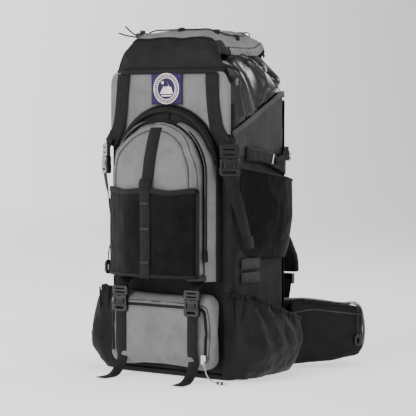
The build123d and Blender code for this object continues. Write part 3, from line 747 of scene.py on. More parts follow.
for label, side in SIDES:
    slant = (math.cos(math.radians(40)), side * math.sin(math.radians(40)), 0)
    female_half(f"lid_buckle_socket_{label}", frame_at((side * 150, -124, 424), slant, (0, 0, 1)), 38, 32, 11,
                f"lid_buckle_{label}", f"lid_female_{label}")
    female_half(f"base_buckle_socket_{label}", frame_at((side * 87, -162.0, 147.6), (1, 0, 0), (0, 0, 1)),
                32.4,
                31, 8.5, f"base_buckle_{label}", f"base_female_{label}")
lid_plugs = several("lid_buckle_plugs", [
    male_half(f"lid_plug_{label}", frame_at((side * 150, -124, 454), (math.cos(math.radians(40)),
                                            side * math.sin(math.radians(40)), 0), (0, 0, 1)), 36, 25, 7.5,
              15)
    for label, side in SIDES])
place(dressed(lid_plugs, ACETAL), "lid", "black_acetal", "lid_buckle_males")
base_plugs = several("base_buckle_plugs", [
    male_half(f"base_plug_{label}", frame_at((side * 87, -161.0, 173), (1, 0, 0), (0, 0, 1)), 34, 18, 7, 12)
    for label, side in SIDES])
place(dressed(base_plugs, ACETAL), "sack", "black_acetal", "base_buckle_males")

side_locks = several("side_cord_lock_barrels", [
    cord_lock(f"side_lock_{label}", frame_at((side * 153.5, 80, 446), (side * 0.5, 0.866, 0), (0, 0, 1)),
              11, 24, 9)
    for label, side in SIDES])
place(dressed(side_locks, ACETAL), "sack", "black_acetal", "side_cord_locks")
lash_barrel = cord_lock("lash_lock_barrel", frame_at((-96, -72, 686.2), (1, 0, 0), (0, 1, 0)), 14, 14, 11.6)
place(dressed(lash_barrel, ACETAL), "lid", "black_acetal", "lash_lock")
button_place = frame_at((-96, -72, 693.8), (1, 0, 0), (0, 1, 0))
button = joined("lash_button_cap", [plate("lash_button_form", [rounded(9, 9, 4.4, steps=6)], 7.6, 1.4,
                                          button_place)])
place(dressed(button, ACETAL), "lash_button", "black_acetal", "lash_button")


# ------------------------------------------------------------------------------ the sack's cloth
def rib_fold(spot, seed, size, depth, stretch=(1, 1, 1)):
    """How far folded cloth stands out at a point, in millimetres."""
    return depth * crumple(spot, size, seed, stretch)


def front_skin(u, v):
    x, z = -148 + 296 * u, 15 + 531 * v
    edge = max(0.0, abs(x) - 134) / 14
    y = -112.5 + 10 * edge ** 2.2
    return (x, y - rib_fold((x, 0, z), 3.0, 46, 1.4, (1, 1, 2)), z)


sack_front = dressed(skin("sack_front_cloth", front_skin, 60, 90), BLACK)
place(sack_front, "sack", "charcoal_nylon", "front_panel")


def side_top(y):
    return 484 + (min(y, 67) + 112) / 179 * 80 if y < 67 else 564


def side_skin(side):
    def point(u, v):
        y = -112 + 200 * u
        z = 15 + (side_top(y) - 15) * v
        edge = min(u, 1 - u)
        pull = -8 * max(0.0, 1 - edge / 0.07) ** 2
        sag = 2.2 * math.sin(math.pi * u) * (0.6 + 0.4 * math.sin(z / 40))
        fold = rib_fold((0, y, z), 7.0 + side, 44, 1.6, (1, 1.0, 2.0)) + rib_fold((0, y, z), 11.0, 16, 0.4,
                                                                                  (1, 2, 1))
        return (side * (147.2 + pull + sag + fold), y, z)
    return point


def diagonal_welt(side):
    """The stitched band over the seam between the side cloth and the collar."""
    route = [(side * 149.6, -110, 486), (side * 151.0, -60, 508.4), (side * 151.2, -10, 530.7),
             (side * 150.8, 40, 553), (side * 149.6, 66, 565), (side * 147, 84, 567)]
    band = strap(f"welt_{side}", route, 12, face=(side, 0, 0), thick=2.6)
    roll = piping(f"welt_roll_{side}", [(x, y - 2.4, z + 5.6) for x, y, z in route], 1.7)
    rows = stitches(f"welt_stitches_{side}", [[(x + side * 1.3, y + d, z - 2.2 * d) for x, y, z in route]
                                             for d in (1.2, 2.0)], (side, 0, 0))
    return [dressed(band, ASH_TRIM), dressed(roll, ASH_TRIM), dressed(rows, LIGHT_WEBBING)]


side_parts = []
for label, side in SIDES:
    cloth = dressed(skin(f"side_cloth_{label}", side_skin(side), 44, 96), BLACK)
    cloth.data.materials.append(CHARCOAL)
    for face in cloth.data.polygons:
        face.material_index = 1 if face.center.z / MM > 446 else 0
    side_parts.append(cloth)
    side_parts.extend(diagonal_welt(side))
place(several("sack_side_cloth", side_parts), "sack", "charcoal_nylon", "side_panels")


def back_skin(u, v):
    x, z = -148 + 296 * u, 15 + 540 * v
    edge = max(0.0, abs(x) - 136) / 12
    return (x, 90.4 - 8 * edge ** 2.2 + rib_fold((x, 0, z), 5.0, 50, 0.8), z)


place(dressed(skin("sack_back_cloth", back_skin, 50, 80), BLACK), "sack", "black_nylon", "back_panel")

base_cloth = softened("sack_base_cloth", "base_panel", 4.0, 4, 1)
place(dressed(base_cloth, BLACK), "sack", "black_nylon", "base_panel")


# ------------------------------------------------------------------------------ storm collar
def collar_side(y):
    return 484 + (min(max(y, -112), 67) + 112) / 179 * 80


def plan_spot(u, half_x, low_y, high_y, corner):
    """A point and outward direction on a rounded rectangle, u from 0 to 1 round it."""
    spans = [2 * (half_x - corner), high_y - low_y - 2 * corner] * 2
    arc = math.pi / 2 * corner
    total = sum(spans) + 4 * arc
    run = (u % 1.0) * total
    centres = [(half_x - corner, low_y + corner), (half_x - corner, high_y - corner),
               (-half_x + corner, high_y - corner), (-half_x + corner, low_y + corner)]
    starts = [(-half_x + corner, low_y), (half_x, low_y + corner), (half_x - corner, high_y),
              (-half_x, high_y - corner)]
    ways = [(1, 0), (0, 1), (-1, 0), (0, -1)]
    outs = [(0, -1), (1, 0), (0, 1), (-1, 0)]
    for k in range(4):
        if run <= spans[k]:
            return (starts[k][0] + ways[k][0] * run, starts[k][1] + ways[k][1] * run), outs[k]
        run -= spans[k]
        if run <= arc:
            turn = run / corner
            out = (outs[k][0] * math.cos(turn) + ways[k][0] * math.sin(turn),
                   outs[k][1] * math.cos(turn) + ways[k][1] * math.sin(turn))
            return (centres[k][0] + out[0] * corner, centres[k][1] + out[1] * corner), out
        run -= arc
    return starts[0], outs[0]


def crease(y, z, start, end, width, height):
    """A long fold from one point to another on the collar's side, with a soft crest and a sharper valley."""
    way = Vector((end[0] - start[0], end[1] - start[1]))
    span = way.length
    way.normalize()
    offset = Vector((y - start[0], z - start[1]))
    along = offset.dot(way) / span
    across = offset.x * way.y - offset.y * way.x
    fade = max(0.0, min(1.0, (along + 0.12) * 5)) * max(0.0, min(1.0, (1.12 - along) * 5))
    crest = math.exp(-(across / width) ** 2)
    valley = math.exp(-((across + 1.35 * width) / (0.6 * width)) ** 2)
    return height * fade * (crest - 0.7 * valley)


def collar_skin(u, v):
    top = 656.0
    (_, y0), _ = plan_spot(u, 146, -110, 88, 20)
    base = 500 if y0 < -100 else collar_side(y0) + 1
    z = base + (top - base) * v
    rise = max(0.0, z - 556) / 96
    taper = 41 * rise ** 2.6
    (x, y), out = plan_spot(u, 146.5 - taper, -111 + 0.6 * taper, 88 - 0.6 * taper, 16 + 22 * rise)
    side = 1 if x > 0 else -1
    lie = (abs(out[0])) ** 0.5
    fold = crease(y, z, (-98, 636), (-28, 506), 12, 14.0) + crease(y, z, (-24, 645), (38, 572), 12, 13.0)
    fold += crease(y, z, (30, 628), (-6, 548), 11, 5.0) + crease(y, z, (-92, 590), (-70, 512), 8, 5.0)
    fold += crease(y, z, (80, 600), (20, 588), 12, 5.5)
    soft = 4.0 * crumple((x, y, z), 48, 2.0 + side, (1, 1.0, 1.6), 2) + 0.7 * crumple((x, y, z), 20, 5.0,
                                                                                      (1, 1, 1.4), 2)
    gather = 1.9 * math.sin(u * 760) * max(0.0, 1 - v * 3.2) ** 1.5
    hem = min(1.0, v * 7)
    push = (fold * lie + soft * (0.75 + 0.25 * lie)) * hem + gather * lie
    push = min(push, (3.6 if out[1] < -0.7 else 7.0) + 9 * rise)
    return (x + out[0] * push, y + out[1] * push, z)


collar = skin("storm_collar_cloth", collar_skin, 300, 84, 1.0, wrap=True)
drawn = piping("storm_collar_hem", [(*plan_spot(k / 24, 101, -84, 61, 36)[0], 650) for k in range(25)], 3.2)
place(several("storm_collar_gathered", [dressed(collar, TAFFETA), dressed(drawn, TAFFETA)]), "sack",
      "black_taffeta", "storm_collar")
for node, material in (("compartment_divider", BLACK), ("frame_sheet", FRAME_PLASTIC),
                       ("frame_stays", ALUMINIUM)):
    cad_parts[node].data.materials.clear()
    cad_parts[node].data.materials.append(material)


# ------------------------------------------------------------------------------ the front pocket
def arch_route(radius, centre, foot, y, steps=20, cut=None):
    """A round-topped line in the front view, up one side, over and down the other."""
    line = [(-radius, y, z) for z in np.linspace(foot, centre, 6)[:-1]]
    line += [(-radius * math.cos(a), y, centre + radius * math.sin(a))
             for a in np.linspace(0, math.pi, steps)]
    line += [(radius, y, z) for z in np.linspace(centre, foot, 6)[1:]]
    return [p for p in line if cut is None or abs(p[0]) >= cut]


arch_profile = [(122, -112.6), (122.6, -119), (122.8, -125), (122.2, -129)]


def arch_wall(u, v):
    radius, y = [np.interp(v, np.linspace(0, 1, 4), [p[k] for p in arch_profile]) for k in (0, 1)]
    route = smooth_arch(u, radius)
    return (route[0], y, route[1])


def smooth_arch(u, radius):
    legs, arc = 220.0, math.pi * radius
    run = u * (2 * legs + arc)
    if run < legs:
        return (-radius, 198 + run)
    if run < legs + arc:
        a = (run - legs) / radius
        return (-radius * math.cos(a), 418 + radius * math.sin(a))
    return (radius, 418 - (run - legs - arc))


def recess(u, v):
    z = 199 + 340 * v
    half = 118 if z < 418 else math.sqrt(max(1.0, 121.5 ** 2 - (z - 418) ** 2))
    return ((2 * u - 1) * min(118, half), -127.5 + 0.8 * crumple((u * 200, 0, z), 30, 1.0), z)


roll_line = [(-116.5 * math.cos(a), -128.5 if 0.3 < a < 2.84 else -124, 418 + 116.5 * math.sin(a))
             for a in np.linspace(0.12, math.pi - 0.12, 26)]
arch_roll = piping("pocket_arch_roll", roll_line, 6.3, 5)


def gusset(side):
    """The pocket's rear gusset: grey cloth from the zip back to the sack, which narrows up under the arch."""
    reach = (-0.5, 2.5, 7.0, 10.6, 12.4, 12.6)
    depth = (-150.5, -146.5, -140, -132, -122, -112.8)

    def point(u, v):
        run = v * (208 + 128)
        turn = max(0.0, run - 208) / 110
        slim = 1 - 0.8 * min(1.0, max(0.0, (run - 180) / 150))
        wave = 0.9 * crumple((side * 60, 200 * u, 199 + run), 26, 4.0, (1, 1, 2), 2)
        radius = 110 + float(np.interp(u, np.linspace(0, 1, 6), reach)) * slim + wave
        y = -150.5 + (float(np.interp(u, np.linspace(0, 1, 6), depth)) + 150.5) * (0.35 + 0.65 * slim)
        return (side * radius * math.cos(turn), y, 199 + min(run, 208) + radius * math.sin(turn))
    return dressed(skin(f"front_gusset_{side}", point, 12, 80, 1.4), ASH)


arch_seam = stitches("pocket_arch_stitches", [[(x * 0.965, y - 5.6, 418 + (z - 418) * 0.965)
                                               for x, y, z in roll_line]],
                     (0, -1, 0), 3.0, 2.0, 0.8)
recess_seam = strap("pocket_arch_seam", [(8, -128.6, 516), (8, -128.8, 528), (8, -128.6, 538)], 5,
                    face=(0, -1, 0))
place(several("pocket_arch_welt", [dressed(skin("arch_wall", arch_wall, 120, 6, 1.4), BLACK),
                                   dressed(skin("arch_recess", recess, 40, 60, 1.2), BLACK),
                                   dressed(arch_roll, BLACK), dressed(arch_seam, WEBBING),
                                   dressed(recess_seam, WEBBING)]),
      "sack", "black_nylon", "pocket_arch")

pocket = stuffed("front_pocket_bag", "front_pocket", 1.5, 7.0, 3.0)
dressed(pocket, ASH)
seam_line = [(x, 0, z) for x, y, z in arch_route(88, 407, 205, 0, 22)]
seam = piping("front_pocket_piping", laid_on(pocket, seam_line, (0, 1, 0), 0.4), 1.3)
seam_rows = stitches("front_pocket_stitches",
                     [laid_on(pocket, arch_route(84.5, 407, 385, 0, 22), (0, 1, 0), 0.9)], (0, -1, 0), 2.6,
                     1.6, 0.6)
face_edge = [(x, 0, z) for x, y, z in arch_route(100, 407, 205, 0, 22)]
rim = piping("front_pocket_edge", laid_on(pocket, face_edge, (0, 1, 0), 0.3), 1.0)
hem = strap("front_pocket_hem", [(111.5, -138, 206), (110.5, -150, 206), (106, -163, 206), (80, -170, 206)],
            10,
            across=(0, 0, 1))
front_bag = several("front_pocket_sewn", [pocket, gusset(1), gusset(-1), dressed(seam, ASH_TRIM),
                                          dressed(seam_rows, ASH_TRIM),
                                          dressed(rim, ASH_TRIM), dressed(hem, LIGHT_WEBBING)])
place(front_bag, "sack", "ash_nylon", "front_pocket")


MESH_HALF = 105
MESH_FOOT = 206
MESH_RISE = 175


def mesh_face(x, z):
    """How far forward the stuffed mesh pocket stands, in millimetres along y."""
    arc = -172 - 25 * (1 - (x / MESH_HALF) ** 2)
    bulge = 3.5 * math.sin(math.pi * min(1, abs(x) / MESH_HALF)) ** 2 * math.sin(math.pi
                                                                      * min(1.0, (z - MESH_FOOT) / MESH_RISE))
    return arc - bulge + 1.2 * crumple((x, 0, z), 24, 9.0, (1, 1, 2), 2)


def mesh_skin(u, v):
    x = -MESH_HALF + 2 * MESH_HALF * u
    z = MESH_FOOT + MESH_RISE * v
    dip = -5.0 * v ** 3 * math.sin(2 * math.pi * min(u, 1 - u)) ** 2
    edge = max(0.0, abs(x) - 98) / 7
    return (x, mesh_face(x, z) + 7 * edge ** 2, z + dip)


net = dressed(skin("mesh_pocket_net", mesh_skin, 70, 60, 0.8), MESH)
rim_route = [(x, mesh_face(x, 380) - 0.8, 378 - 5.0
              * math.sin(2 * math.pi * min((x + 105) / 210, 1 - (x + 105) / 210)) ** 2)
             for x in np.linspace(-104, 104, 22)]
rim_band = strap("mesh_pocket_rim", rim_route, 11, face=(0, -1, 0), thick=2.2)
feet = [strap(f"mesh_pocket_bind_{s}", [(s * 105, -168, 208), (s * 105.4, -169, 290), (s * 105, -168, 378)],
              7,
              face=(s * 0.5, -0.85, 0)) for s in (-1, 1)]
foot_band = strap("mesh_pocket_foot", [(x, mesh_face(x, 208) - 0.6, 209)
                                       for x in np.linspace(-104, 104, 16)], 7,
                  face=(0, -1, 0))
place(several("mesh_pocket_sewn", [net, dressed(rim_band, BLACK), *[dressed(f, BLACK) for f in feet],
                                   dressed(foot_band, BLACK)]), "sack", "black_mesh", "mesh_pocket")

upper_run = laid_on(front_bag, [(0, 0, z) for z in (516, 500, 480, 460, 440, 420, 402)], (0, 1, 0), 2.0)
upper_strap = strap("centre_strap_upper", [*upper_run, (0, -194, 392), (0, -199.5, 380)], 27,
                    across=(1, 0, 0),
                    thick=2.6)
lower_run = [(0, mesh_face(0, z) - 2.0, z) for z in (384, 370, 340, 300, 260, 225, 204)]
lower_strap = strap("centre_strap_lower", lower_run, 24, across=(1, 0, 0))
tacks = [strap(f"centre_strap_tack_{k}", [(-10, mesh_face(0, z) - 3.6, z), (10, mesh_face(0, z) - 3.6, z)], 5,
               face=(0, -1, 0), thick=1.0) for k, z in enumerate((352, 302, 236))]
fold_end = strap("centre_strap_fold", [(0, -191.5, 400), (0, -196.8, 396), (0, -199.6, 388),
                                       (0, -198.0, 384)], 28,
                 across=(1, 0, 0), thick=3.2)
place(several("centre_strap_webbing", [dressed(upper_strap, WEBBING), dressed(lower_strap, WEBBING),
                                       *[dressed(t, LIGHT_WEBBING) for t in tacks],
                                       dressed(fold_end, WEBBING)]),
      "sack", "webbing", "centre_strap")

zips = []
for side in (-1, 1):
    leg = [(side * 112, -149, z) for z in np.linspace(262, 407, 6)]
    leg += [(side * 112 * math.cos(a), -149, 407 + 112 * math.sin(a)) for a in np.linspace(0.15, 0.88, 8)]
    zips.append(dressed(strap(f"front_zip_{side}", leg, 5, across=(0, 1, 0), thick=1.4), ZIP))
    garage = [(side * 111.8, -149, 262), (side * 112.6, -149.6, 250), (side * 112.2, -150, 238)]
    zips.append(dressed(strap(f"front_zip_garage_{side}", garage, 15, across=(0, 1, 0), thick=2.0), BLACK))
bottom_line = [(-112, -153.4, 50), (-112.5, -153.4, 100), (-111, -153.4, 132), (-103, -153.4, 144),
               (-60, -153.4, 147), (0, -153.4, 147), (60, -153.4, 147), (103, -153.4, 144),
               (111, -153.4, 132),
               (112.5, -153.4, 100), (112, -153.4, 50)]


# ------------------------------------------------------------------------------ the bottom pocket
def zip_valley(p):
    """The zip holds the bottom bag in along both its sides, so the slider runs clear of the cloth."""
    limit = -151.4 - 0.4 * max(0.0, abs(abs(p.x) - 112) - 9)
    return (p.x, max(p.y, limit) if 20 < p.z < 150 and abs(p.x) > 70 else p.y, p.z)


low_bag = held_back(stuffed("bottom_pocket_bag", "bottom_pocket", 2.0, 8.0, 3.5), zip_valley)
dressed(low_bag, ASH)
on_bag = laid_on(low_bag, smooth_path(bottom_line, 8), (0, 1, 0), 0.8)
zips.append(dressed(strap("bottom_zip", on_bag, 6, face=(0, -1, 0), thick=1.4), ZIP))
place(several("zip_tracks_sewn", zips), "sack", "webbing", "zip_tracks")
low_piping = piping("bottom_pocket_piping", laid_on(low_bag,
                                                    [(x * 1.05, y, 84 + (z - 84) * 1.12) for x, y, z in
                                                             bottom_line], (0, 1, 0), 0.4), 1.3)
low_rows = stitches("bottom_pocket_stitches", [laid_on(low_bag,
                                                       [(x * 0.95, y, z - 6) for x, y, z in bottom_line],
                                                       (0, 1, 0), 0.9)], (0, -1, 0), 2.6, 1.8, 0.6)
low_sewn = several("bottom_pocket_sewn", [low_bag, dressed(low_piping, ASH_TRIM),
                                          dressed(low_rows, ASH_TRIM)])
place(low_sewn, "sack", "ash_nylon", "bottom_pocket")

base_straps = []
for side in (-1, 1):
    middle = side * 87
    drop = laid_on(low_sewn, [(middle, 0, z) for z in (120, 90, 60, 36)], (0, 1, 0), 2.4)
    tail = [(middle + side * 1, -170, 14), (middle + side * 2, -186, 4), (middle + side * 4, -205, 2.6),
            (middle + side * 6, -221, 3.0)]
    run = [(middle, -128, 199), (middle, -150, 190), (middle, -157.5, 178), (middle, -158.5, 150), *drop,
           *tail]
    base_straps.append(dressed(strap(f"base_strap_{side}", run, 25, across=(1, 0, 0)), WEBBING))
    tab = [(middle, -120, 204), (middle, -136, 200), (middle, -152, 190), (middle, -158, 180)]
    base_straps.append(dressed(strap(f"base_tab_{side}", tab, 28, across=(1, 0, 0), thick=2.6), WEBBING))
place(several("base_strap_webbing", base_straps), "sack", "webbing", "base_straps")


# ------------------------------------------------------------------------------ side pockets
def plan_at(route, u):
    """A point and its outward direction on a plan route, by share of its length."""
    path = smooth_path([(x, y, 0) for x, y in route], 6)
    lengths = np.concatenate([[0], np.cumsum([(b - a).length for a, b in zip(path, path[1:])])])
    run = u * lengths[-1]
    spots = np.array(path)
    here = [float(np.interp(run, lengths, spots[:, k])) for k in (0, 1)]
    ahead = [float(np.interp(min(run + 3, lengths[-1]), lengths, spots[:, k])) for k in (0, 1)]
    behind = [float(np.interp(max(run - 3, 0), lengths, spots[:, k])) for k in (0, 1)]
    way = Vector((ahead[0] - behind[0], ahead[1] - behind[1])).normalized()
    return here, (way.y, -way.x)


bottle_route = [(148.5, -84), (153, -58), (170, 0), (178, 46), (170, 78), (149, 86)]
lower_route = [(126, -113.4), (148, -115), (172, -116), (192, -104), (205, -62), (207, -10), (203, 42),
               (180, 80), (149, 86)]
bottle_plan = [plan_at(bottle_route, k / 60) for k in range(61)]
lower_plan = [plan_at(lower_route, k / 90) for k in range(91)]


def bottle_skin(side):
    def point(u, v):
        (x, y), out = bottle_plan[min(60, int(round(u * 60)))]
        rim = 424 - 32 * (y + 84) / 170
        z = 236 + (rim - 236) * v
        belly = math.sin(math.pi * min(1.0, v * 0.9 + 0.05))
        push = (3.0 * belly - 5 * max(0.0, 0.15 - v) / 0.15) * math.sin(math.pi * u) ** 0.6
        push -= 20 * max(0.0, (326 - z) / 90) ** 1.4 * max(0.0,
                                                           math.sin(math.pi * u)) ** 0.5 * (0.3 + 0.7 * u)
        push += 2.2 * crumple((x, y, z), 26, 4.0, (1, 1, 1.8), 2) * math.sin(math.pi * u)
        return (side * (x + out[0] * push), y + out[1] * push, z)
    return point


def lower_skin(side):
    def point(u, v):
        (x, y), out = lower_plan[min(90, int(round(u * 90)))]
        rim = 170 - 66 * max(0.0, (y + 90) / 176) ** 0.8
        z = 5 + (rim - 5) * v
        ends = min(1.0, 4 * min(u, 1 - u))
        belly = float(np.interp(z, (5, 20, 45, 70, 100, 140, 172), (-30, -10, 5, 12, 7, -5, -16)))
        radiate = 4.6 * math.sin(u * 40 + 14 * v + 1.5 * math.sin(v * 5)) * v ** 1.2 * (0.5 + 0.8
                                                                           * crumple((x, y, 0), 30, 3.0) ** 2)
        ruche = 2.4 * math.sin(u * 170) * max(0.0, v - 0.78) / 0.22
        soft = 4.0 * crumple((x, y, z), 32, 6.0 + side, (1, 1, 1.5), 3)
        push = (belly + radiate + soft) * ends + ruche
        return (side * (x + out[0] * min(push, 13)), y + out[1] * min(push, 13), z)
    return point


bottle_parts, lower_parts = [], []
for label, side in SIDES:
    bottle_parts.append(dressed(skin(f"bottle_net_{label}", bottle_skin(side), 60, 60, 0.8), MESH))
    hem_route = [bottle_skin(side)(k / 24, 0.99) for k in range(25)]
    bottle_parts.append(dressed(piping(f"bottle_rim_{label}", hem_route, 2.6), BLACK))
    lower_parts.append(dressed(skin(f"lower_cloth_{label}", lower_skin(side), 90, 54, 1.2), BLACK))
    hem_route = [lower_skin(side)(k / 90, 1.0) for k in range(91)]
    lower_parts.append(dressed(strap(f"lower_rim_{label}", hem_route, 9, across=(0, 0, 1), thick=3.4,
                                     step=3), BLACK))
place(several("bottle_pocket_nets", bottle_parts), "sack", "black_mesh", "bottle_pockets")
for side in (-1, 1):
    pleat = [(151, -115.5, 171), (153, -116, 140), (155, -116.5, 112), (159, -117.5, 96), (164, -118, 92),
             (169, -117.5, 97), (172, -117, 114), (173, -116.5, 142), (174, -116, 171)]
    pleat = [(side * x, y, z) for x, y, z in pleat]
    lower_parts.append(dressed(piping(f"corner_pleat_{side}", pleat, 1.8), BLACK))
    inner = [(x, y - 1.4, z + 3) for x, y, z in pleat[1:-1]]
    lower_parts.append(dressed(stitches(f"corner_rows_{side}", [inner], (0, -1, 0), 3, 2, 0.8),
                               LIGHT_WEBBING))
place(several("lower_pocket_cloth", lower_parts), "sack", "black_nylon", "lower_pockets")

side_runs = []
for side in (-1, 1):
    for low in (191, 219):
        route = [(side * 150.5, -82, low + 11), (side * 152, -60, low + 11.5), (side * 152.5, -38, low + 11),
                 (side * 150.5, -14, low + 10.5)]
        side_runs.append(dressed(strap(f"side_run_{side}_{low}", route, 21, across=(0, 0, 1)), LIGHT_WEBBING))
place(several("side_webbing_runs", side_runs), "sack", "webbing", "side_webbing")


def wing_skin(side):
    def point(u, v):
        y = -64 + 149 * u
        low = np.interp(y, [-64, 0, 85], [434, 428, 403])
        high = np.interp(y, [-64, 0, 85], [464, 458, 431])
        z = low + (high - low) * v
        edge = min(v, 1 - v, u * 2, (1 - u) * 2)
        return (side * (151.4 + 2.2 * min(1.0, edge * 8) + 0.8 * crumple((0, y, z), 18, 8.0)), y, z)
    return point


wings = []
for label, side in SIDES:
    wings.append(dressed(skin(f"wing_{label}", wing_skin(side), 44, 14, 2.2), BLACK))
    border = [(side * 153.6, y, z) for y, z in ((-60, 437), (0, 431.5), (82, 407))]
    crown = [(side * 153.6, y, z) for y, z in ((-60, 460.5), (0, 454.5), (82, 427.5))]
    wings.append(dressed(stitches(f"wing_rows_{label}", [border, crown], (side, 0, 0), 3, 2, 0.8),
                         LIGHT_WEBBING))
    tack = strap(f"wing_tack_{label}", [(side * 154.2, 28, 426), (side * 154.4, 31, 436),
                                        (side * 154.2, 34, 446)], 3.2,
                 face=(side, 0, 0), thick=1.0)
    wings.append(dressed(tack, BADGE_THREAD))
    cinch = strap(f"wing_strap_{label}", [(side * 154.5, 40, 432), (side * 155.5, 64, 436),
                                          (side * 154, 84, 442)], 14,
                  across=(0, -0.15, 1))
    wings.append(dressed(cinch, WEBBING))
    for k, drop in enumerate((0, 7)):
        loose = piping(f"wing_tail_{label}_{k}", [(side * 155, 82, 446 - drop), (side * 157, 90, 447 - drop),
                                                  (side * 156, 96, 444 - 1.4 * drop)], 1.3)
        wings.append(dressed(loose, SHOCK_CORD))
place(several("compression_wings_sewn", wings), "sack", "black_nylon", "compression_wings")


# ------------------------------------------------------------------------------ harness and hip belt
pads = softened("back_pads_foam", "back_pads", 4.0, 6, 1)
displace(pads, lambda p, n: -2.4 * math.exp(-((abs(p.x) - 58) / 3.0) ** 2) * max(0.0, n.y) if p.z > 150 else
         -2.6 * math.exp(-((p.z - 92) / 3.2) ** 2) * max(0.0, n.y))
place(dressed(pads, FOAM_SKIN), "sack", "foam_pad", "back_pads")
shoulder = softened("shoulder_pads_foam", "shoulder_pads", 4.0, 5, 1)
displace(shoulder, lambda p, n: 0.8 * crumple(p, 28, 2.0, (1, 1, 1), 2)
         - 1.6 * math.exp(-((abs(abs(p.x) - 76) - 24) / 2.4) ** 2) * abs(n.y))
place(dressed(shoulder, FOAM_SKIN), "sack", "foam_pad", "shoulder_pads")

harness = []
for side in (-1, 1):
    x = side * 76
    harness.append(dressed(strap(f"harness_lower_{side}", [(x, 212, 184), (x, 212.5, 163), (x, 203, 130),
                                                          (x, 186, 98), (x, 150, 68), (x, 116, 52)], 25,
                                 across=(1, 0, 0)), WEBBING))
    harness.append(dressed(strap(f"load_lifter_{side}",
                                 [(x, 92, 551), (x, 108, 558), (x, 127, 561), (x, 141, 541),
                                                        (x, 151, 519)], 20, across=(1, 0, 0)), WEBBING))
    harness.append(dressed(strap(f"harness_tail_{side}", [(x, 206, 176), (x, 204, 150), (x, 207, 122)], 25,
                                 across=(1, 0, 0)), WEBBING))
place(several("harness_webbing_runs", harness), "sack", "webbing", "harness_webbing")
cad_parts["ladder_locks"].data.materials.clear()
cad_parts["ladder_locks"].data.materials.append(ACETAL)
def pocket_depth(height):
    """How far a belt pocket may swell from its wing: less near its top, where the pull cord hangs."""
    return 38.0 - 0.55 * max(0.0, height - 112)


haul = strap("haul_loop_webbing", [(-30, 92, 534), (-29, 106, 534), (-22, 124, 533.5), (0, 132, 533),
                                   (22, 124, 533.5),
                                  (29, 106, 534), (30, 92, 534)], 24, across=(0, 0, 1), thick=2.4)
place(dressed(haul, WEBBING), "sack", "webbing", "haul_loop")

for label, side in SIDES:
    wing = softened(f"belt_wing_foam_{label}", f"belt_wing_{label}", 4.0, 6, 1)
    edge_line = [belt_spot(side, a, 0, h) for a, h in ((-4, 31), (40, 8), (120, 12), (203, 28), (203, 116),
                                                        (150, 128), (60, 140), (-4, 127))]
    bind = piping(f"belt_bind_{label}", [*edge_line, edge_line[0]], 3.0)
    wing_piece = several(f"belt_wing_sewn_{label}", [dressed(wing, FOAM_SKIN), dressed(bind, ASH)])
    place(wing_piece, f"belt_{label}", "foam_pad", f"belt_wing_{label}")
    out = belt_out[side]
    foot = belt_spot(side, 0, 0, 0)
    bag = held_back(stuffed(f"belt_pocket_bag_{label}", f"belt_pocket_{label}", 1.5, 5.0, 3.0, 4.0),
                    lambda p: p - out * max(0.0, (p - foot).dot(out) - pocket_depth(p.z)))
    zip_line = [belt_spot(side, a, 40, h) for a,
                h in ((34, 131), (60, 134), (100, 130), (140, 125), (186, 119))]
    zip_on = laid_on(bag, zip_line, -out, 0.4)
    seam_on = laid_on(bag, [belt_spot(side, a, 40, h)
                            for a, h in ((36, 116), (80, 120), (130, 114), (188, 107))],
                      -out, 0.0)
    foot_on = laid_on(bag, [belt_spot(side, a, 40, h) for a, h in ((36, 17), (80, 17), (120, 21), (184, 33))],
                      -out, 0.0)
    parts = [dressed(bag, BLACK), dressed(strap(f"belt_zip_{label}", zip_on, 6, face=out, thick=1.4), ZIP),
             dressed(piping(f"belt_seam_{label}", seam_on, 1.3), ASH_TRIM),
             dressed(piping(f"belt_foot_{label}", foot_on, 1.3), BLACK)]
    bag_piece = several(f"belt_pocket_sewn_{label}", parts)
    place(bag_piece, f"belt_{label}", "black_nylon", f"belt_pocket_{label}")
    strap_line = [belt_spot(side, a, -8.6, 75) for a in (84, 120, 160, 204)]
    belt_web = strap(f"belt_strap_webbing_{label}", strap_line, 38, across=(0, 0, 1))
    place(dressed(belt_web, WEBBING), f"belt_{label}", "webbing", f"belt_strap_{label}")
    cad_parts[f"belt_slider_{label}"].data.materials.clear()
    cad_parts[f"belt_slider_{label}"].data.materials.append(ZINC)
at = frame_at(belt_spot(1, 56, -13.4, 75), (0, 0, 1), belt_along[1] * -1)
female_half("belt_buckle_socket", at, 50, 52, 11, "belt_right", "belt_buckle_female")
at = frame_at(belt_spot(-1, 61, -12.2, 75), (0, 0, 1), belt_along[-1])
place(dressed(male_half("belt_buckle_plug", at, 46, 42, 9, 26), ACETAL), "belt_left", "black_acetal",
      "belt_buckle_male")


# ------------------------------------------------------------------------------ lid
lid_line = [(-118, 603), (-119, 626), (-114, 652), (-99, 678), (-68, 693), (0, 696), (50, 689), (82, 668),
            (96, 638), (98, 603)]
lid_path = smooth_path([(0, y, z) for y, z in lid_line], 5)
lid_spots = np.array(lid_path)
lid_run = np.concatenate([[0], np.cumsum([(b - a).length for a, b in zip(lid_path, lid_path[1:])])])


lid_dome = ((0, 700), (56, 699), (74, 691), (90, 679), (104, 662), (116, 643), (126, 624), (134, 606))


def lid_ceiling(x):
    return float(np.interp(abs(x), [p[0] for p in lid_dome], [p[1] for p in lid_dome]))


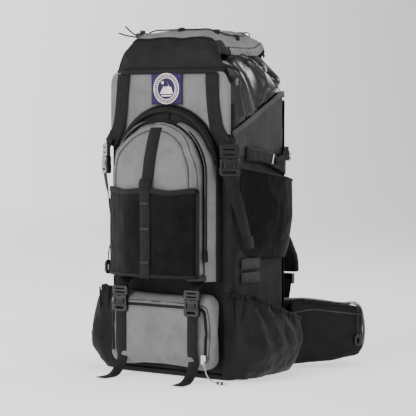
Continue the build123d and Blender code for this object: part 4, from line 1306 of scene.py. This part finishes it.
def lid_skin(u, v):
    across = 2 * u - 1
    run = v * lid_run[-1]
    y, z = float(np.interp(run, lid_run, lid_spots[:, 1])), float(np.interp(run, lid_run, lid_spots[:, 2]))
    reach = float(np.interp(z, (603, 612, 640, 665), (134, 132, 119, 108) if y < 0 else (98, 100, 104, 108)))
    reach *= 1 - 0.2 * max(0.0, (y - 10) / 88) ** 2
    x = reach * math.sin(across * 1.45) / math.sin(1.45)
    z = 3 - 5 * math.log(math.exp(-(z - 650) / 5) + math.exp(-(lid_ceiling(x) - 650) / 5)) + 650
    corner = 16 * max(0.0, (abs(x) - 88) / 46) ** 2
    wave = 2.2 * crumple((x, y, z), 42, 12.0, (1, 1, 1), 2) + 0.8 * crumple((x, y, z), 14, 13.0,
                                                                            (1, 1.6, 1), 2)
    gather = 1.6 * math.sin(v * 260) * max(0.0, (abs(across) - 0.72) / 0.28) * (1 if 0.13 < v < 0.32 else 0.2)
    hold = min(1.0, 5 * min(v, 1 - v))
    if z > 660:
        return (x, y + (corner if y < -60 else 0), z + (wave + gather) * hold)
    return (x, y + (corner - wave - gather if y < 0 else wave - corner) * 0.8, z)


def on_lid_front(x, height):
    """A point on the lid's front band at a width and a height."""
    best = min((abs(lid_skin(u, v)[0] - x) + abs(lid_skin(u, v)[2] - height), u, v)
               for u in np.linspace(0, 1, 61) for v in np.linspace(0, 0.14, 9))
    spot = lid_skin(best[1], best[2])
    return (spot[0], spot[1] - 0.9, spot[2])


lid_cloth = skin("lid_cloth", lid_skin, 90, 130, 1.6)
lid_cloth.data.materials.append(BLACK)
lid_cloth.data.materials.append(ASH)
for face in lid_cloth.data.polygons:
    spot = face.center / MM
    corner_patch = abs(spot.x) > 99 and spot.y < -74
    face.material_index = 1 if spot.z > 655 and -99 < spot.y < 86 and not corner_patch else 0
band_edge = [lid_skin(u, 0.222) for u in np.linspace(0.09, 0.91, 22)]
band_edge = [(x, y, z + 1.0) for x, y, z in band_edge]
hem_line = [(x, y - 3.4, z) for x, y, z in (on_lid_front(w, 611) for w in np.linspace(-131, 131, 12))]
lid_hem = strap("lid_hem", hem_line, 11, face=(0, -1, 0), thick=2.2)
lid_rows = stitches("lid_hem_stitches", [[(x, y - 1.5, z + d) for x, y, z in hem_line] for d in (-3.4, 3.6)],
                    (0, -1, 0), 3, 2, 0.8)
edges = []
for side in (-1, 1):
    line = [lid_skin(0.5 + side * 0.5, v) for v in np.linspace(0.0, 1.0, 40)]
    edges.append(dressed(piping(f"lid_edge_{side}", line, 1.6), BLACK))
def lid_skirt(side):
    """The gathered end of the lid, drawn down over the collar: black at its front corner, then grey."""
    def point(u, v):
        x, y, z = lid_skin(0.5 + side * 0.5, 0.15 + 0.72 * u)
        gather = 1.3 * math.sin(u * 150) * (0.4 + 0.6 * v)
        fall = v * (17 - 8 * abs(2 * u - 1) ** 3)
        return (x + side * (6.0 * math.sin(v * 1.4) + gather), y, z - fall)
    cloth = skin(f"lid_skirt_{side}", point, 120, 8, 1.2)
    cloth.data.materials.append(BLACK)
    cloth.data.materials.append(ASH)
    for face in cloth.data.polygons:
        face.material_index = 1 if face.center.y / MM > -62 and face.center.z / MM > 644 else 0
    return cloth


lid_piece = several("lid_shell_sewn", [lid_cloth, lid_skirt(1), lid_skirt(-1),
                                       dressed(piping("lid_band_piping", band_edge, 1.4), BLACK),
                                       dressed(lid_hem, BLACK), dressed(lid_rows, WEBBING), *edges])
place(lid_piece, "lid", "ash_nylon", "lid_top")


APRON_HALF = 146
APRON_FOOT = 486.0
APRON_HEAD = 610


def apron_skin(u, v):
    """The lid's front flap: straight at its sides, cut to an arch over the pocket, gently pillowed."""
    x = -APRON_HALF + 2 * APRON_HALF * u
    foot = APRON_FOOT
    if abs(x) < 127:
        foot = max(foot, 418 + math.sqrt(max(0.0, 127 ** 2 - x * x)))
    head = APRON_HEAD - 26 * max(0.0, (abs(x) - 128) / 18) ** 2
    z = foot + (head - foot) * v
    pillow = 2.2 * math.sin(math.pi * min(1.0, max(0.0, v))) + 1.5 * crumple((x, 0, z), 24, 21.0, (1, 1, 4),
                                                                             2)
    edge = max(0.0, abs(x) - 139) / 7
    return (x, -118.6 - pillow * (1 - edge) * (1 - v ** 6) + 5.0 * edge ** 2, z)


apron = dressed(skin("lid_apron_cloth", apron_skin, 120, 44, 1.4), ASH)
apron_hem = piping("lid_apron_hem", [(x, apron_skin((x + APRON_HALF) / (2 * APRON_HALF), 0.0)[1] - 0.2,
                                      apron_skin((x + APRON_HALF) / (2 * APRON_HALF), 0.0)[2] + 1)
                                     for x in np.linspace(-145, 145, 60)], 1.3)
apron_piece = several("lid_apron_sewn", [apron, dressed(apron_hem, ASH_TRIM)])
place(apron_piece, "lid", "ash_nylon", "lid_apron")

badge_cloth = dressed(skin("badge_cloth", lambda u, v: (-37 + 74 * u, -123.4 - 0.8 * math.sin(math.pi * u),
                                                        546 + 62 * v), 12, 12, 1.4), BADGE_CLOTH)
badge_at = frame_at((0, -124.9, 577.5), (1, 0, 0), (0, 0, 1))


def circle(radius, centre=(0, 0), count=48):
    return [(centre[0] + radius * math.cos(2 * math.pi * k / count),
             centre[1] + radius * math.sin(2 * math.pi * k / count)) for k in range(count)]


marks = [plate("badge_outer", [circle(30.5), circle(29.0)], 0.9, 0.3, badge_at),
         plate("badge_inner", [circle(22.6), circle(21.4)], 0.9, 0.3, badge_at)]
for k in range(36):
    turn = 2 * math.pi * k / 36
    spot = (25.8 * math.cos(turn), 25.8 * math.sin(turn))
    leaf = [(spot[0] + a * math.cos(turn + 0.6) - b * math.sin(turn + 0.6),
             spot[1] + a * math.sin(turn + 0.6) + b * math.cos(turn + 0.6))
            for a, b in ((-2.3, 0), (0, -0.8), (2.3, 0), (0, 0.8))]
    marks.append(plate("badge_leaf", [leaf], 0.9, 0.2, badge_at))
peak = [(-15, -10), (-6, 5), (-2.5, 1), (3, 12), (9, 1), (11, 3.5), (16, -10)]
snow = [(-0.4, 5.2), (3, 12), (6.2, 6.1), (4.4, 4.2), (3.0, 6.0), (1.4, 3.8)]
marks.append(plate("badge_peak", [peak], 0.9, 0.3, badge_at))
marks.append(plate("badge_river", [[(-12, -13), (13, -13), (11, -15), (-10, -15)]], 0.9, 0.3, badge_at))
marks.append(plate("badge_sun", [circle(3.0, (-9, 12), 20)], 0.9, 0.3, badge_at))
emblem = joined("badge_emblem", marks)
snow_at = frame_at((0, -125.6, 577.5), (1, 0, 0), (0, 0, 1))
snow_cap = joined("badge_snow", [plate("badge_snow_form", [snow], 0.8, 0.2, snow_at)])
border_line = [(-36, -124.4, 547.4), (36, -124.4, 547.4), (36, -124.4, 606.6), (-36, -124.4, 606.6)]
border = stitches("badge_border", [[border_line[k], border_line[(k + 1) % 4]] for k in range(4)],
                  (0, -1, 0), 3, 1.4, 1.0)
place(several("lid_badge_woven", [badge_cloth, dressed(emblem, BADGE_THREAD), dressed(snow_cap, BADGE_CLOTH),
                                  dressed(border, BADGE_CLOTH)]), "lid", "badge_cloth", "lid_badge")

lid_runs = []
for side in (-1, 1):
    route = [(side * 107, -121.4, 607), (side * 108, -123.4, 588), (side * 112, -124.2, 540),
             (side * 119, -123.8, 500), (side * 131, -123.6, 480), (side * 141, -123.6, 466)]
    lid_runs.append(dressed(strap(f"lid_strap_{side}", route, 30, face=(0, -1, 0)), WEBBING))
    loop = [(side * 141, -123.6, 476), (side * 143, -125.5, 468), (side * 145, -126.5, 460)]
    lid_runs.append(dressed(strap(f"lid_strap_loop_{side}", loop, 28, across=(0.85, side * 0.5, 0),
                                  thick=2.4), WEBBING))
place(several("lid_strap_webbing", lid_runs), "lid", "webbing", "lid_straps")

for label, side in SIDES:
    stations = ((418, 150.5, -125, 40), (404, 152, -126, 42), (337, 158.5, -100, 62), (300, 160.5, -85, 74),
                (264, 160, -73, 84))
    route = [(side * across, depth, level) for level, across, depth, _ in stations]
    ways = [(math.cos(math.radians(f)), side * math.sin(math.radians(f)), 0) for *_, f in stations]
    web = dressed(strap(f"lower_web_{label}", route, 26, across=ways), WEBBING)
    fold_route = [(side * 161.5, -75, 286), (side * 162.5, -72, 272), (side * 161, -70, 262)]
    fold = dressed(strap(f"lower_fold_{label}", fold_route, 28, across=(0.1, side * 0.99, 0), thick=3.4),
                   WEBBING)
    place(several(f"lower_strap_webbing_{label}", [web, fold]), f"lid_buckle_{label}", "webbing",
          f"lower_strap_{label}")

lash_run = soft_line("lash_cord_line", [
    (-0.0945, -0.072, 0.6842), (-0.088, -0.071, 0.6846), (-0.079, -0.070, 0.6925), (-0.063, -0.071, 0.6969),
                                        (-0.042, -0.072, 0.6964),
    (0, -0.070, 0.6973), (0.042, -0.073, 0.6959), (0.062, -0.070, 0.6973), (0.080, -0.066, 0.6917),
    (0.092, -0.012, 0.6818), (0.082, 0.044, 0.6902), (0.062, 0.050, 0.6942), (0.042, 0.054, 0.6917),
    (0, 0.050, 0.6942), (-0.042, 0.054, 0.6917), (-0.062, 0.050, 0.6942), (-0.080, 0.044, 0.6917),
    (-0.093, 0, 0.6806), (-0.090, -0.054, 0.6842), (-0.096, -0.065, 0.6862)], 0.0032)
lash_run.data.materials.append(SHOCK_CORD)
place(lash_run, "lid", "lash_cord", "lash_cord")
keepers = []
for k, (x, y) in enumerate(((0, -70), (79, -65), (91, -12), (81, 44), (0, 50), (-79, 44))):
    crown = float(np.interp(y, [p[0] for p in lid_line[3:8]], [p[1] for p in lid_line[3:8]]))
    turn = Vector((x, y, 0)).normalized() if abs(x) > 1 else Vector((0, -1 if y < 0 else 1, 0))
    across = Vector((-turn.y, turn.x, 0))
    lean = min(0.7, max(0.0, (abs(x) - 60) / 40))
    base = Vector((x, y, min(crown, lid_ceiling(x)) + 1.0))
    out = (Vector((0, 0, 1)) + Vector((math.copysign(lean, x) if abs(x) > 1 else 0, 0, 0))).normalized()
    way = across.cross(out).normalized()
    loop = [base - way * 7, base - way * 5 + out * 4.6, base + out * 7.2, base + way * 5 + out * 4.6,
            base + way * 7]
    keepers.append(dressed(strap(f"keeper_{k}", loop, 10, across=across, step=2), WEBBING))
place(several("lash_keeper_tabs", keepers), "lid", "webbing", "lash_keepers")
for node in ("front_slider", "bottom_slider"):
    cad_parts[node].data.materials.clear()
    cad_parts[node].data.materials.append(ZINC)


# ------------------------------------------------------------------------------ floor and light
def paper(name, light, dark, painted_glow):
    """Matt seamless paper, almost even, with a faint fibre grain. Its colour is a painted falloff of light,
    bright on one side and darker on the other, and it glows with the same painted tones.
    """
    material, tree, shader = finish(name, "floor", 0.9)
    place_of = add(tree, "TexCoord").outputs["Object"]
    # painted falloff of light: the paper's colour runs from bright on one side to darker on the other
    across = add(tree, "VectorMath", {"operation": "DOT_PRODUCT", 1: (0.16, 0.11, 0.06)}, {0: place_of})
    shift = add(tree, "Math", {"operation": "ADD", 1: 0.5}, {0: across.outputs["Value"]}).outputs[0]
    tone = add(tree, "ValToRGB", {"stops": ((0.1, light), (0.9, dark))}, {"Fac": shift}).outputs["Color"]
    grain = add(tree, "TexNoise", {"Scale": 800.0}, {"Vector": place_of}).outputs["Fac"]
    bump = add(tree, "Bump", {"Strength": 0.2, "Distance": 0.1 * MM}, {"Height": grain})
    tree.links.new(tone, shader.inputs["Base Color"])
    # the paper glows with the same painted tones: painted light from a surface that is no lamp
    tree.links.new(tone, shader.inputs["Emission Color"])
    shader.inputs["Emission Strength"].default_value = painted_glow
    tree.links.new(bump.outputs["Normal"], shader.inputs["Normal"])
    return material


# pale paper coloured with a painted falloff of light, which also glows by itself as painted light
PAPER_PAINTED_LIGHT = paper("seamless_paper_painted_falloff", "#f8f8fa", "#aba6aa", 1.35)


def sweep(u, v):
    """The studio's seamless bowl: a flat floor that curves up into a low wall."""
    span = v * 11.0
    if span < 6.2:
        radius, height = span, 0.0
    elif span < 9.0:
        turn = (span - 6.2) / 2.8 * math.pi / 2
        radius, height = 6.2 + 1.8 * math.sin(turn), 1.8 * (1 - math.cos(turn))
    else:
        radius, height = 8.0, 1.8 + (span - 9.0)
    return (1000 * radius * math.cos(2 * math.pi * u), 1000 * radius * math.sin(2 * math.pi * u),
            1000 * height)


floor = dressed(skin("studio_floor", sweep, 96, 60, 0, wrap=True), PAPER_PAINTED_LIGHT)


def lamp(name, energy, spot, size, aim_at=(0, 0, 0.35)):
    """A soft round studio light that faces the pack."""
    light = bpy.data.lights.new(name, "AREA")
    light.energy = energy
    light.shape = "DISK"
    light.size = size
    made = new_object(name, light)
    made.location = spot
    made.rotation_euler = (Vector(spot) - Vector(aim_at)).to_track_quat("Z", "Y").to_euler()
    return made


lamp("key_softbox", 75, (-0.6, -3.0, 2.2), 1.4)
lamp("side_softbox", 38, (3.0, -0.6, 1.9), 1.2)
lamp("top_softbox", 35, (0.2, 0.3, 3.0), 1.6)
lamp("rim_softbox", 40, (1.2, 2.6, 1.6), 1.2)
world = bpy.data.worlds.new("studio")
bpy.context.scene.world = world
world.use_nodes = True
world.node_tree.nodes["Background"].inputs["Color"].default_value = shade("#e4e4e8")
world.node_tree.nodes["Background"].inputs["Strength"].default_value = 0.24
